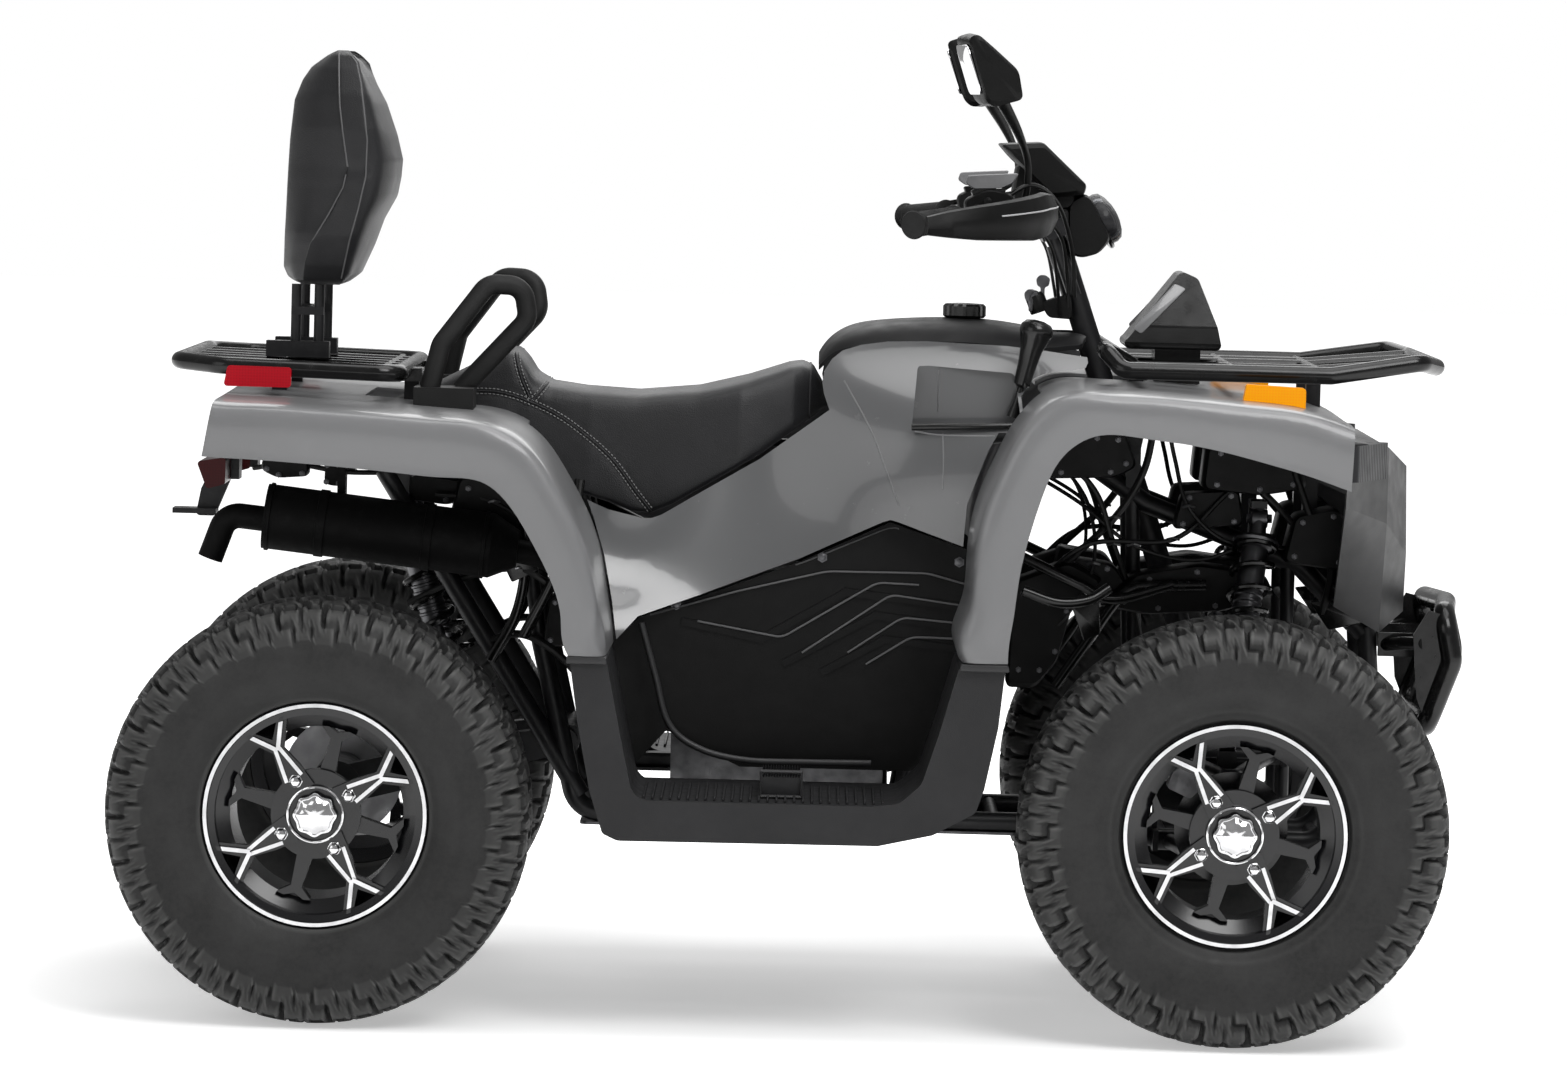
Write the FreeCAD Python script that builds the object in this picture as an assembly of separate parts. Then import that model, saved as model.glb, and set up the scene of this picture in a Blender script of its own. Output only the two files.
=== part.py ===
import FreeCAD, Part

import math
import os

Vector = FreeCAD.Vector

# A utility quad bike, in millimetres. X runs forwards, Y to the rider's left, Z up.
# The origin is on the ground, at the middle of the overall length and width.

# Wheels and stance
wheelbase = 1350.0
rear_axle_x = -706.0
front_axle_x = rear_axle_x + wheelbase
front_track = 930.0
rear_track = 890.0
front_tyre_diameter = 638.0
front_tyre_width = 205.0
rear_tyre_diameter = 630.0
rear_tyre_width = 255.0
bead_diameter = 306.0
front_rim_width = 160.0
rear_rim_width = 208.0
front_axle_z = front_tyre_diameter / 2
rear_axle_z = rear_tyre_diameter / 2

# Clearances
seat_gap = 0.3
pin_gap = 0.1
rod_end_gap = 1.5

# Steering
column_tilt_deg = 19.2
column_top_x = 372.0
column_top_z = 1190.0
column_radius = 14.0
bar_z = 1218.0
kingpin_y = front_track / 2 - 75.0
kingpin_half_height = 78.0
steering_arm = 62.0
pitman_half_spread = 20.0
tie_rod_z = front_axle_z + 14.0
tie_rod_radius = 7.0

# Frame tubes
rail_radius = 15.0
brace_radius = 11.0
lower_rail_y = 140.0
lower_rail_z = 290.0
nose_rail_y = 100.0
nose_rail_z = 268.0

# Bodywork
skin = 5.0
body_half_width = 565.0
floor_z = 350.0
sill_z = 290.0
deck_half_width = 262.0
seat_half_width = 160.0
seat_tail_half_width = 138.0
pod_stem = (530.0, 600.0, 48.0)

# Racks
rack_radius = 13.0
rack_bar_radius = 8.0
front_rack_z = 990.0
rear_rack_z = 962.0
front_rack_half_width = 330.0
rear_rack_half_width = 305.0

# Tyre tread and cast wheels
tread_pitches = 24
tread_depth = 13.0
lug_share = 0.7
spoke_angle_deg = 31.0
rail_width = 5.5

# Suspension and brakes
front_disc_radius = 84.0
front_disc_y = front_track / 2 - 36.0
arm_pivot_y = 133.0
arm_back_x = front_axle_x - 92.0
arm_front_x = front_axle_x + 92.0
lower_arm_z = 268.0
upper_arm_z = 402.0
front_shock_low = (front_axle_x, 100.0 - kingpin_y, upper_arm_z + 33.0 + seat_gap)
front_shock_high = (front_axle_x + 46.0, -165.0, 765.0)
rear_shock_low = (-508.0, -100.0, 412.0)
rear_shock_high = (-612.0, -104.0, 742.0)
swing_y = 104.0
swing_pivot_x = -352.0
swing_pivot_z = 400.0
axle_radius = 18.0

# Frame outline and posts
nose_loop = (
    (-398, -lower_rail_y, 560), (-335, -lower_rail_y, lower_rail_z), (420, -lower_rail_y, lower_rail_z),
    (560, -nose_rail_y, nose_rail_z), (800, -nose_rail_y, nose_rail_z), (878, -nose_rail_y, 395),
    (862, -nose_rail_y, 600),
)
top_rail = (
    (-868, -158, 846), (-430, -155, 792), (-215, -135, 690), (60, -115, 832), (300, -82, 882), (400, -78, 862),
    (520, -92, 780), (760, -nose_rail_y, 690), (858, -nose_rail_y, 590),
)
post_half = 11.0
posts = (
    (-800.0, -158.0, 842.0, rear_rack_z - 12 - 10 - seat_gap),
    (-600.0, -156.0, 815.0, rear_rack_z - 12 - 10 - seat_gap),
    (-430.0, -122.0, 785.0, 840.6),
    (-40.0, -122.0, 785.0, 853.2),
    (180.0, -98.0, 850.0, 1029.0),
    (500.0, -92.0, 795.0, front_rack_z - rack_radius - seat_gap),
    (770.0, -100.0, 690.0, front_rack_z - rack_radius - seat_gap),
)
side_arms = (
    (250.0, 846.0, -88.0, -290.0),
    (-150.0, 716.0, -125.0, -240.0),
)

# Bodywork outlines, in side view
front_flare_outer = [(236, 565), (243, 660), (254, 770), (288, 860), (332, 938), (380, 965), (500, 963), (640, 953),
                     (740, 942), (800, 922)]
front_flare_inner = [(303, 565), (314, 680), (334, 775), (357, 842), (386, 888), (425, 903), (520, 899), (620, 881),
                     (720, 856), (797, 830)]
rear_flare_outer = [(-286, 560), (-300, 655), (-316, 722), (-348, 785), (-392, 855), (-440, 893), (-520, 902),
                    (-640, 909), (-760, 915), (-868, 918)]
rear_flare_inner = [(-340, 560), (-357, 640), (-376, 690), (-412, 750), (-444, 797), (-476, 813), (-560, 818),
                    (-680, 828), (-780, 834), (-882, 838)]
chevrons = (
    ((-176, 589), (-60, 566), (66, 640), (246, 622)),
    ((-22, 532), (112, 606), (250, 590)),
    ((36, 520), (126, 570), (240, 558)),
)

# Tow bracket
hitch_hole_radius = 8.0


# Shape helpers
def mirrored(shape):
    """The same shape on the other side of the centre plane."""
    return shape.mirror(Vector(0, 0, 0), Vector(0, 1, 0))


def both_sides(shape):
    """A right-hand shape and its left-hand twin."""
    return [shape, mirrored(shape)]


def fused(shapes):
    """One solid from several that overlap."""
    whole = shapes[0]
    if len(shapes) > 1:
        whole = whole.multiFuse(shapes[1:])
    return whole.removeSplitter()


def box(x0, x1, y0, y1, z0, z1):
    """A block between two corners."""
    return Part.makeBox(x1 - x0, y1 - y0, z1 - z0, Vector(x0, y0, z0))


def rod(start, end, radius):
    """A round bar between two points."""
    a, b = Vector(*start), Vector(*end)
    return Part.makeCylinder(radius, (b - a).Length, a, b - a)


def rounded_edges(points, radii):
    """Straight runs joined by tangent arcs, through points, with a radius at each inner one."""
    corners = [Vector(*p) for p in points]
    edges = []
    last = corners[0]
    for i in range(1, len(corners) - 1):
        here = corners[i]
        into = (here - corners[i - 1]).normalize()
        out = (corners[i + 1] - here).normalize()
        turn = into.getAngle(out)
        radius = radii[i - 1]
        if turn < 0.01 or radius <= 0:
            edges.append(Part.LineSegment(last, here).toShape())
            last = here
            continue
        reach = radius * math.tan(turn / 2)
        start = here - into * reach
        end = here + out * reach
        inward = (out - into).normalize()
        middle = here + inward * (radius / math.cos(turn / 2) - radius)
        if (start - last).Length > 0.001:
            edges.append(Part.LineSegment(last, start).toShape())
        edges.append(Part.Arc(start, middle, end).toShape())
        last = end
    edges.append(Part.LineSegment(last, corners[-1]).toShape())
    return edges


def closed_outline(points, radius):
    """A closed wire with rounded corners: one radius for all, or a list of them."""
    radii = list(radius) if isinstance(radius, (list, tuple)) else [radius] * len(points)
    first = (Vector(*points[-1]) + Vector(*points[0])) / 2
    ring = [tuple(first)] + list(points) + [tuple(first)]
    return Part.Wire(rounded_edges(ring, radii))


def bar_pieces(points, radius, bend):
    """The straight runs and the bends of a round bar, as cylinders and parts of rings."""
    corners = [Vector(*p) for p in points]
    pieces = []
    last = corners[0]
    for before, here, after in zip(corners, corners[1:], corners[2:]):
        into = (here - before).normalize()
        out = (after - here).normalize()
        turn = into.getAngle(out)
        if turn < 0.01:
            continue
        reach = bend * math.tan(turn / 2)
        start = here - into * reach
        if (start - last).Length > 0.01:
            pieces.append(Part.makeCylinder(radius, (start - last).Length, last, start - last))
        normal = into.cross(out).normalize()
        centre = start + normal.cross(into) * bend
        disc = Part.Face(Part.Wire(Part.makeCircle(radius, start, into)))
        pieces.append(disc.revolve(centre, normal, math.degrees(turn)))
        last = here + out * reach
    end = corners[-1]
    pieces.append(Part.makeCylinder(radius, (end - last).Length, last, end - last))
    return pieces


def tube(points, radius, bend=40.0):
    """A round bar along a bent path."""
    pieces = bar_pieces(points, radius, bend)
    return pieces[0].multiFuse(pieces[1:]) if len(pieces) > 1 else pieces[0]


def ring_tube(points, radius, bend=40.0):
    """A round bar bent into a closed ring."""
    first = tuple((Vector(*points[-1]) + Vector(*points[0])) / 2)
    return tube([first] + list(points) + [first], radius, bend)


def side_prism(points_xz, y0, y1, radius=0.0):
    """A side-view outline carried straight across from y0 to y1."""
    wire = closed_outline([(x, y0, z) for x, z in points_xz], radius)
    return Part.Face(wire).extrude(Vector(0, y1 - y0, 0))


def plan_prism(points_xy, z0, z1, radius=0.0):
    """A plan-view outline carried straight up from z0 to z1."""
    wire = closed_outline([(x, y, z0) for x, y in points_xy], radius)
    return Part.Face(wire).extrude(Vector(0, 0, z1 - z0))


def front_prism(points_yz, x0, x1, radius=0.0):
    """A front-view outline carried forwards from x0 to x1."""
    wire = closed_outline([(x0, y, z) for y, z in points_yz], radius)
    return Part.Face(wire).extrude(Vector(x1 - x0, 0, 0))


def smooth_face(rows):
    """A smooth surface through a grid of points."""
    surface = Part.BSplineSurface()
    surface.interpolate([[Vector(*p) for p in row] for row in rows])
    return surface.toShape()


def even_points(points_xz, radius, count):
    """Points at even steps along a rounded side-view line."""
    path = Part.Wire(rounded_edges([(x, 0, z) for x, z in points_xz], [radius] * (len(points_xz) - 2)))
    return [(p.x, p.z) for p in path.discretize(Number=count)]


def skinned_loft(sections):
    """A thin moulding through sections; each is two rows of points, its outer face and its inner one."""
    wires = []
    for outer, inner in sections:
        curves = []
        for line in (outer, inner):
            curve = Part.BSplineCurve()
            curve.interpolate([Vector(*p) for p in line])
            curves.append(curve.toShape())
        ends = [Part.LineSegment(Vector(*outer[k]), Vector(*inner[k])).toShape() for k in (0, -1)]
        wires.append(Part.Wire([curves[0], ends[1], curves[1], ends[0]]))
    return Part.makeLoft(wires, True, False)


def mudguard(outer, inner, edge, crown, count):
    """A pair of mudguards and the deck between them: a skin that follows the outer line and turns down to the inner one."""
    sections = []
    for (xo, zo), (xi, zi) in zip(even_points(outer, 38, count), even_points(inner, 38, count)):
        depth = math.hypot(xi - xo, zi - zo)
        down = ((xi - xo) / depth, (zi - zo) / depth)
        half = [(edge - 3, depth), (edge, depth * 0.6), (edge, 22), (edge - 6, 7), (edge - 24, 1), (edge - 90, -2),
                (edge - 200, -crown * 0.5), (edge - 400, -crown)]
        inset = [(edge - 3 - skin, depth), (edge - skin, depth * 0.6), (edge - skin, 24), (edge - 9 - skin, 10 + skin * 0.5),
                 (edge - 26 - skin * 0.4, 1 + skin), (edge - 90, -2 + skin), (edge - 200, -crown * 0.5 + skin),
                 (edge - 400, -crown + skin)]
        rows = []
        for line in (half, inset):
            whole = [(-y, d) for y, d in line] + [(y, d) for y, d in reversed(line)]
            rows.append([(xo + down[0] * d, y, zo + down[1] * d) for y, d in whole])
        sections.append(rows)
    return skinned_loft(sections)


def revolved(profile_ry, axis_x=0.0, axis_z=0.0):
    """A closed profile of (radius, y) turned about an axle along Y."""
    wire = Part.makePolygon([Vector(r, y, 0) for r, y in profile_ry + profile_ry[:1]])
    solid = Part.Face(wire).revolve(Vector(0, 0, 0), Vector(0, 1, 0), 360)
    solid.translate(Vector(axis_x, 0, axis_z))
    return solid


def column_point(z, forward=0.0, side=0.0):
    """The point of the steering axis at height z, moved forwards and sideways in the plane square to it."""
    slope = math.tan(math.radians(column_tilt_deg))
    x = column_top_x + (column_top_z - z) * slope
    tilt = math.radians(column_tilt_deg)
    return (x + forward * math.cos(tilt), side, z + forward * math.sin(tilt))


# Wheels
def ring_points(radius, y, angles):
    """Points round the axle at one radius and one distance along it."""
    return [Vector(radius * math.sin(a), y, -radius * math.cos(a)) for a in angles]


def flat_faces(loops):
    """Plane faces from loops of points."""
    return [Part.Face(Part.makePolygon(list(loop) + [loop[0]])) for loop in loops]


def tyre(diameter, width, rim_width):
    """A hollow tyre of flat facets with a pair of lugs at each pitch, open towards its rim, its axle along Y."""
    outside = diameter / 2
    half = width / 2
    lip_y = rim_width / 2 - 5 - seat_gap
    step = 2 * math.pi / tread_pitches
    lug_ends = [step * (k + share) for k in range(tread_pitches) for share in (0.0, lug_share)]
    even = [step * k for k in range(tread_pitches)]
    bead_in = (bead_diameter / 2 + 1.4, lip_y - 5)
    bead_out = (bead_diameter / 2 + 17, lip_y)
    widest = (outside - 84, half)
    shoulder = (outside - 62, half - 2)
    lug_edge, lug_top = (outside - 11, half * 0.84), (outside, half * 0.1)
    low_edge, low_top = (outside - 11 - tread_depth, half * 0.78), (outside - tread_depth, half * 0.1)
    wall = (outside - 88, half - 10)
    crown = (outside - tread_depth - 19, half * 0.6)
    loops = []
    for side in (-1, 1):
        def ring(point, angles):
            return ring_points(point[0], side * point[1], angles)
        for one, two in ((bead_in, bead_out), (bead_out, widest), (bead_in, wall), (wall, crown)):
            a, b = ring(one, even), ring(two, even)
            loops += [(a[k - 1], a[k], b[k], b[k - 1]) for k in range(tread_pitches)]
        a, b = ring(widest, even), ring(shoulder, lug_ends)
        for k in range(tread_pitches):
            nxt = (k + 1) % tread_pitches
            loops += [(a[k], b[2 * k], b[2 * k + 1]), (a[k], b[2 * k + 1], a[nxt]), (a[nxt], b[2 * k + 1], b[2 * nxt])]
        foot, edge, top = b, ring(lug_edge, lug_ends), ring(lug_top, lug_ends)
        low, middle = ring(low_edge, lug_ends), ring(low_top, lug_ends)
        for k in range(2 * tread_pitches):
            nxt = (k + 1) % (2 * tread_pitches)
            if k % 2 == 0:
                loops += [(foot[k], foot[nxt], edge[nxt], edge[k]), (edge[k], edge[nxt], top[nxt], top[k]),
                          (top[k], top[nxt], middle[nxt], middle[k])]
            else:
                loops += [(foot[k], foot[nxt], low[nxt], low[k]), (low[k], low[nxt], middle[nxt], middle[k])]
            loops.append((foot[k], edge[k], top[k], middle[k], low[k]))
    right, left = ring_points(low_top[0], -low_top[1], lug_ends), ring_points(low_top[0], low_top[1], lug_ends)
    loops += [(right[k - 1], right[k], left[k], left[k - 1]) for k in range(2 * tread_pitches)]
    right, left = ring_points(crown[0], -crown[1], even), ring_points(crown[0], crown[1], even)
    loops += [(right[k - 1], right[k], left[k], left[k - 1]) for k in range(tread_pitches)]
    skin_shell = Part.Shell(flat_faces([loop[::-1] for loop in loops]))
    skin_shell.sewShape()
    return Part.Solid(skin_shell)


def radial_bar(start, end, width, y0, y1):
    """A flat bar in the wheel's plane between two points given as (radius, offset), from y0 to y1."""
    (x0, z0), (x1, z1) = start, end
    length = math.hypot(x1 - x0, z1 - z0)
    ax, az = (x1 - x0) / length * width / 2, (z1 - z0) / length * width / 2
    corners = [(x0 - ax - az, z0 - az + ax), (x0 - ax + az, z0 - az - ax), (x1 + ax + az, z1 + az - ax),
               (x1 + ax - az, z1 + az + ax)]
    return side_prism(corners, y0, y1)


def rim(rim_width, hub_depth):
    """A cast wheel with four forked spokes, machined bright lines on them and four set-back spokes."""
    seat = bead_diameter / 2 - seat_gap
    half = rim_width / 2
    lip = seat + 14
    well = seat - 20
    wall = 5.0
    barrel = revolved([
        (seat - wall, -half + 5), (seat + 5, -half + 3), (seat + 6, -half - 1), (seat + 11.5, -half - 1),
        (lip, -half + 1.5), (lip, -half + 5), (seat, -half + 9), (seat, -half + 34),
        (well, -half + 46), (well, half - 46), (seat, half - 34), (seat, half - 9), (lip, half - 5),
        (lip, half), (seat - wall, half), (seat - wall, half - 32), (well - wall, half - 44),
        (well - wall, -half + 44), (seat - wall, -half + 32),
    ])
    face_y = -half + 8
    inside = seat - wall + 1
    pieces = [barrel, Part.makeCylinder(66, 22, Vector(0, face_y + 14, 0), Vector(0, 1, 0))]
    arm_outline = [(40, -21), (76, -17), (108, -9), (inside - 3, -36), (inside, -20), (126, 0), (inside, 20),
                   (inside - 3, 36), (108, 9), (76, 17), (40, 21)]
    back_outline = [(46, -13), (112, -8), (well - wall - 1, -26), (well - wall + 1, -15), (122, 0),
                    (well - wall + 1, 15), (well - wall - 1, 26), (112, 8), (46, 13)]
    for k in range(4):
        arm = side_prism(arm_outline, face_y + 4, face_y + 22)
        rails = [radial_bar((64, side * 12), (112, side * 3.2), rail_width, face_y, face_y + 6) for side in (-1, 1)]
        rails += [radial_bar((112, side * 2), (inside, side * 28), rail_width + 0.5, face_y - 4, face_y + 6)
                  for side in (-1, 1)]
        arm = fused([arm] + rails)
        arm.rotate(Vector(0, 0, 0), Vector(0, 1, 0), -90 * k - spoke_angle_deg)
        back = side_prism(back_outline, face_y + 26, face_y + 56)
        back.rotate(Vector(0, 0, 0), Vector(0, 1, 0), -90 * k - spoke_angle_deg - 45)
        pieces += [arm, back]
    wheel = fused(pieces)
    ring = Part.makeCylinder(42, 12, Vector(0, face_y + 4, 0), Vector(0, 1, 0))
    ring = ring.cut(Part.makeCylinder(38.5, 6, Vector(0, face_y + 4, 0), Vector(0, 1, 0)))
    cap = [(29 * math.cos(math.radians(60 * n)), 29 * math.sin(math.radians(60 * n))) for n in range(6)]
    cap = side_prism(cap, face_y - 8, face_y + 12)
    nuts = []
    for k in range(4):
        angle = math.radians(90 * k + spoke_angle_deg)
        cx, cz = 57 * math.cos(angle), 57 * math.sin(angle)
        nuts.append(side_prism([(cx + 7.5 * math.cos(math.radians(60 * n)), cz + 7.5 * math.sin(math.radians(60 * n)))
                                for n in range(6)], face_y - 3, face_y + 16))
    sleeve = Part.makeCylinder(30, hub_depth - 12, Vector(0, face_y + 35, 0), Vector(0, 1, 0))
    return fused([wheel, ring, cap, sleeve] + nuts)


def placed(shape, x, y, z, flip=False):
    """A wheel piece moved to its axle; flip turns its outer face to the left."""
    moved = shape.copy()
    if flip:
        moved = mirrored(moved)
    moved.translate(Vector(x, y, z))
    return moved


# Front suspension and steering
def knuckle():
    """The right front knuckle: upright, stub axle, steering arm and brake caliper."""
    y = -kingpin_y
    z = front_axle_z
    reach = kingpin_half_height - 22
    upright = fused([
        box(front_axle_x - 17, front_axle_x + 17, y - 14, y + 14, z - reach + 8, z + reach - 8),
        rod((front_axle_x, y, z - reach), (front_axle_x, y, z + reach), 14)])
    stub = rod((front_axle_x, y - 10, z), (front_axle_x, -front_track / 2 - 38, z), 12)
    flange = rod((front_axle_x, y - 8, z), (front_axle_x, y - 20, z), 26)
    top = tie_rod_z - 8 - rod_end_gap
    arm = box(front_axle_x - steering_arm, front_axle_x - 10, y - 11, y + 11, top - 14, top)
    ball = rod((front_axle_x - steering_arm, y, top - 14), (front_axle_x - steering_arm, y, top), 14)
    return fused([upright, stub, flange, arm, ball, caliper()])


def caliper():
    """A brake caliper that straddles the front disc from behind and above."""
    y = -front_disc_y
    body = side_prism([(-62, 44), (-98, 60), (-88, 84), (-58, 104), (-40, 66)], y - 17, y + 17, 6)
    slot = rod((0, y - 5, 0), (0, y + 5, 0), front_disc_radius + 6)
    bracket = side_prism([(-74, 60), (-58, 78), (4, 22), (4, -6), (-12, 0)], y + 12, -kingpin_y - 8)
    whole = fused([body.cut(slot), bracket.cut(slot)])
    whole.translate(Vector(front_axle_x, 0, front_axle_z))
    return whole


def brake_disc(radius, y, x, z, inner):
    """A thin drilled brake disc."""
    disc = rod((x, y - 2, z), (x, y + 2, z), radius)
    return disc.cut(rod((x, y - 3, z), (x, y + 3, z), inner))


def front_wheel():
    """Tyre and wheel of the right front corner, with the disc and the hub that turns on the stub axle."""
    y = -front_track / 2
    x, z = front_axle_x, front_axle_z
    sleeve_reach = front_rim_width / 2 - 8 - 23 + front_track / 2 - front_disc_y + 2
    wheel = placed(rim(front_rim_width, sleeve_reach), x, y, z)
    wheel = fused([wheel, brake_disc(front_disc_radius, -front_disc_y, x, z, 20)])
    bore = rod((x, y - 40, z), (x, y + 80, z), 12 + pin_gap)
    return placed(tyre(front_tyre_diameter, front_tyre_width, front_rim_width), x, y, z), wheel.cut(bore)


def wishbone(pivot_z, ball_z, tube_radius):
    """An A-arm on the right: a pivot barrel along X and two legs that meet at the ball joint."""
    ball = (front_axle_x, -kingpin_y, ball_z)
    barrel = rod((arm_back_x, -arm_pivot_y, pivot_z), (arm_front_x, -arm_pivot_y, pivot_z), tube_radius + 3)
    legs = [
        rod((x, -arm_pivot_y, pivot_z), ball, tube_radius)
        for x in (arm_back_x + 16, arm_front_x - 16)
    ]
    tie = rod((front_axle_x - 46, -arm_pivot_y - 95, pivot_z + (ball_z - pivot_z) * 0.37),
              (front_axle_x + 46, -arm_pivot_y - 95, pivot_z + (ball_z - pivot_z) * 0.37), tube_radius - 2)
    socket = rod((ball[0], ball[1], ball_z - 13), (ball[0], ball[1], ball_z + 13), 16)
    return fused([barrel, tie, socket] + legs)


def front_arms():
    """Upper and lower A-arms on both sides."""
    low_ball = front_axle_z - kingpin_half_height + 22 - 13 - seat_gap
    high_ball = front_axle_z + kingpin_half_height - 22 + 13 + seat_gap
    lower = wishbone(lower_arm_z, low_ball, 12)
    upper = wishbone(upper_arm_z, high_ball, 11)
    foot = box(front_axle_x - 14, front_axle_x + 14, front_shock_low[1] - 16, front_shock_low[1] + 16,
               upper_arm_z - 6, upper_arm_z + 20)
    upper = fused([upper, foot])
    return Part.makeCompound(both_sides(lower) + both_sides(upper))


def shock(low, high, spring_radius, coils):
    """A coil-over damper between two eyes: rod, body, spring seats and a helical spring, in one piece."""
    a, b = Vector(*low), Vector(*high)
    along = (b - a).normalize()
    length = (b - a).Length
    shaft = Part.makeCylinder(7, length, a, along)
    body = Part.makeCylinder(17, length * 0.42, a + along * (length * 0.54), along)
    lower_seat = Part.makeCylinder(spring_radius + 5, 7, a + along * 26, along)
    upper_seat = Part.makeCylinder(spring_radius + 5, 7, a + along * (length - 38), along)
    eye_low = Part.makeCylinder(13, 24, a - Vector(12, 0, 0), Vector(1, 0, 0))
    eye_high = Part.makeCylinder(13, 24, b - Vector(12, 0, 0), Vector(1, 0, 0))
    run = length - 26 - 38
    spring = coil_spring(spring_radius, 5, run, coils)
    spring.Placement = FreeCAD.Placement(a + along * 29, FreeCAD.Rotation(Vector(0, 0, 1), along))
    return fused([shaft, body, lower_seat, upper_seat, eye_low, eye_high, spring])


def coil_spring(radius, wire, run, coils):
    """A spring about the Z axis, from 0 to run, as a stack of six-sided rings on three thin struts."""
    pieces = []
    for k in range(coils):
        middle = run * (k + 0.5) / coils
        corner = [Vector(radius + wire * math.cos(math.radians(60 * n)), 0, middle + wire * math.sin(math.radians(60 * n)))
                  for n in range(6)]
        face = Part.Face(Part.makePolygon(corner + corner[:1]))
        pieces.append(face.revolve(Vector(0, 0, 0), Vector(0, 0, 1), 360))
    for k in range(3):
        strut = Part.makeBox(4, 4, run, Vector(radius - 2, -2, 0))
        strut.rotate(Vector(0, 0, 0), Vector(0, 0, 1), 120 * k + 15)
        pieces.append(strut)
    return pieces[0].multiFuse(pieces[1:])


# Frame


def frame():
    """The welded tube frame with its brackets and posts."""
    rail = rail_radius
    brace = brace_radius
    ly, nz = lower_rail_y, nose_rail_z
    right = [
        tube(nose_loop, rail, 45),
        tube(top_rail, rail, 60),
        tube([(-640, -157, 806), (-330, -ly, 315)], rail, 40),
        tube([(-398, -ly, 550), (-430, -154, 780)], brace, 40),
        tube([(740, -nose_rail_y, 690), (740, -nose_rail_y, nz)], brace, 40),
        tube([(500, -92, 790), (520, -nose_rail_y - 6, nz + 4)], brace, 40),
        tube([(150, -ly, 286), (240, -100, 870)], brace, 40),
    ]
    for x in (-150, 130):
        right.append(tube([(x, -ly, lower_rail_z - 2), (x, -205, floor_z - skin - brace_radius - seat_gap),
                           (x, -525, floor_z - skin - brace_radius - seat_gap)], brace, 30))
    right.append(rod((swing_pivot_x, -ly, swing_pivot_z), (swing_pivot_x, -swing_y - 18 - seat_gap, swing_pivot_z), 14))
    for x in (arm_back_x, arm_front_x):
        side = -1 if x == arm_back_x else 1
        for z in (lower_arm_z, upper_arm_z):
            x0, x1 = sorted((x + side * seat_gap, x + side * (8 + seat_gap)))
            right.append(box(x0, x1, -arm_pivot_y - 16, -nose_rail_y + 6, z - 16, z + 16))
        x0, x1 = sorted((x + side * seat_gap, x + side * (8 + seat_gap)))
        right.append(box(x0, x1, -nose_rail_y - 8, -nose_rail_y + 8, nz, upper_arm_z + 10))
    for x, y, z0, z1 in posts:
        right.append(box(x - post_half, x + post_half, y - post_half, y + post_half,
                         z0, z1))
    outside = smooth_face(side_half_width(skin + seat_gap)).extrude(Vector(0, -200, 0))
    for x, z, y0, y1 in side_arms:
        right.append(box(x - 10, x + 10, y1, y0, z - 8, z + 8).cut(outside))
    right.append(box(-868, -856, -200, -150, 786, 846))
    shock_ear = box(front_shock_high[0] - 12, front_shock_high[0] + 12, -165, -nose_rail_y,
                    front_shock_high[2] + 14 + seat_gap, front_shock_high[2] + 26)
    right.append(shock_ear)
    right.append(box(front_shock_high[0] - 12, front_shock_high[0] + 12, -nose_rail_y - 10, -nose_rail_y + 10, 690,
                     front_shock_high[2] + 26))
    rear_ear = box(rear_shock_high[0] - 12, rear_shock_high[0] + 12, -160, -90,
                   rear_shock_high[2] + 14 + seat_gap, rear_shock_high[2] + 24)
    right.append(rear_ear)
    right.append(box(rear_shock_high[0] - 12, rear_shock_high[0] + 12, -164, -148, rear_shock_high[2] + 10, 812))
    pieces = []
    for piece in right:
        pieces += both_sides(piece)
    for x, z, half in ((-855, 844, 158), (-430, 792, 155), (20, 811, 118), (395, 866, 78), (300, lower_rail_z, ly), (-150, 292, ly),
                       (110, 292, ly), (560, nz, nose_rail_y), (800, nz, nose_rail_y), 
                       (862, 596, nose_rail_y)):
        pieces.append(rod((x, -half, z), (x, half, z), brace))
    pieces.append(rod((740, -nose_rail_y, 640), (740, nose_rail_y, 640), brace - 3))
    collar_low, collar_high = Vector(*column_point(872)), Vector(*column_point(904))
    collar = Part.makeCylinder(29, (collar_high - collar_low).Length, collar_low, collar_high - collar_low)
    cx, _, cz = column_point(886)
    pieces.append(collar)
    pieces.append(box(395, cx - 10, -9, 9, 862, 880))
    foot_top, foot_low = Vector(*column_point(tie_rod_z + 76)), Vector(*column_point(tie_rod_z + 50))
    foot = Part.makeCylinder(27, (foot_top - foot_low).Length, foot_low, foot_top - foot_low)
    fx = column_point(tie_rod_z + 62)[0]
    pieces += [foot, box(fx - 8, fx + 8, -nose_rail_y, nose_rail_y, tie_rod_z + 56, tie_rod_z + 70)]
    pieces += both_sides(box(fx - 8, fx + 8, -nose_rail_y - 6, -nose_rail_y + 10, nz, tie_rod_z + 70))
    whole = fused(pieces)
    bore_low, bore_high = Vector(*column_point(300)), Vector(*column_point(940))
    bore = Part.makeCylinder(column_radius + pin_gap, (bore_high - bore_low).Length, bore_low, bore_high - bore_low)
    return whole.cut(bore)


# Bodywork
def post_room(chosen):
    """Square holes that let the frame's posts through, on both sides."""
    half = post_half + seat_gap
    rooms = []
    for x, y, _, _ in chosen:
        rooms += both_sides(box(x - half, x + half, y - half, y + half, 700, 1100))
    return rooms


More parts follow.
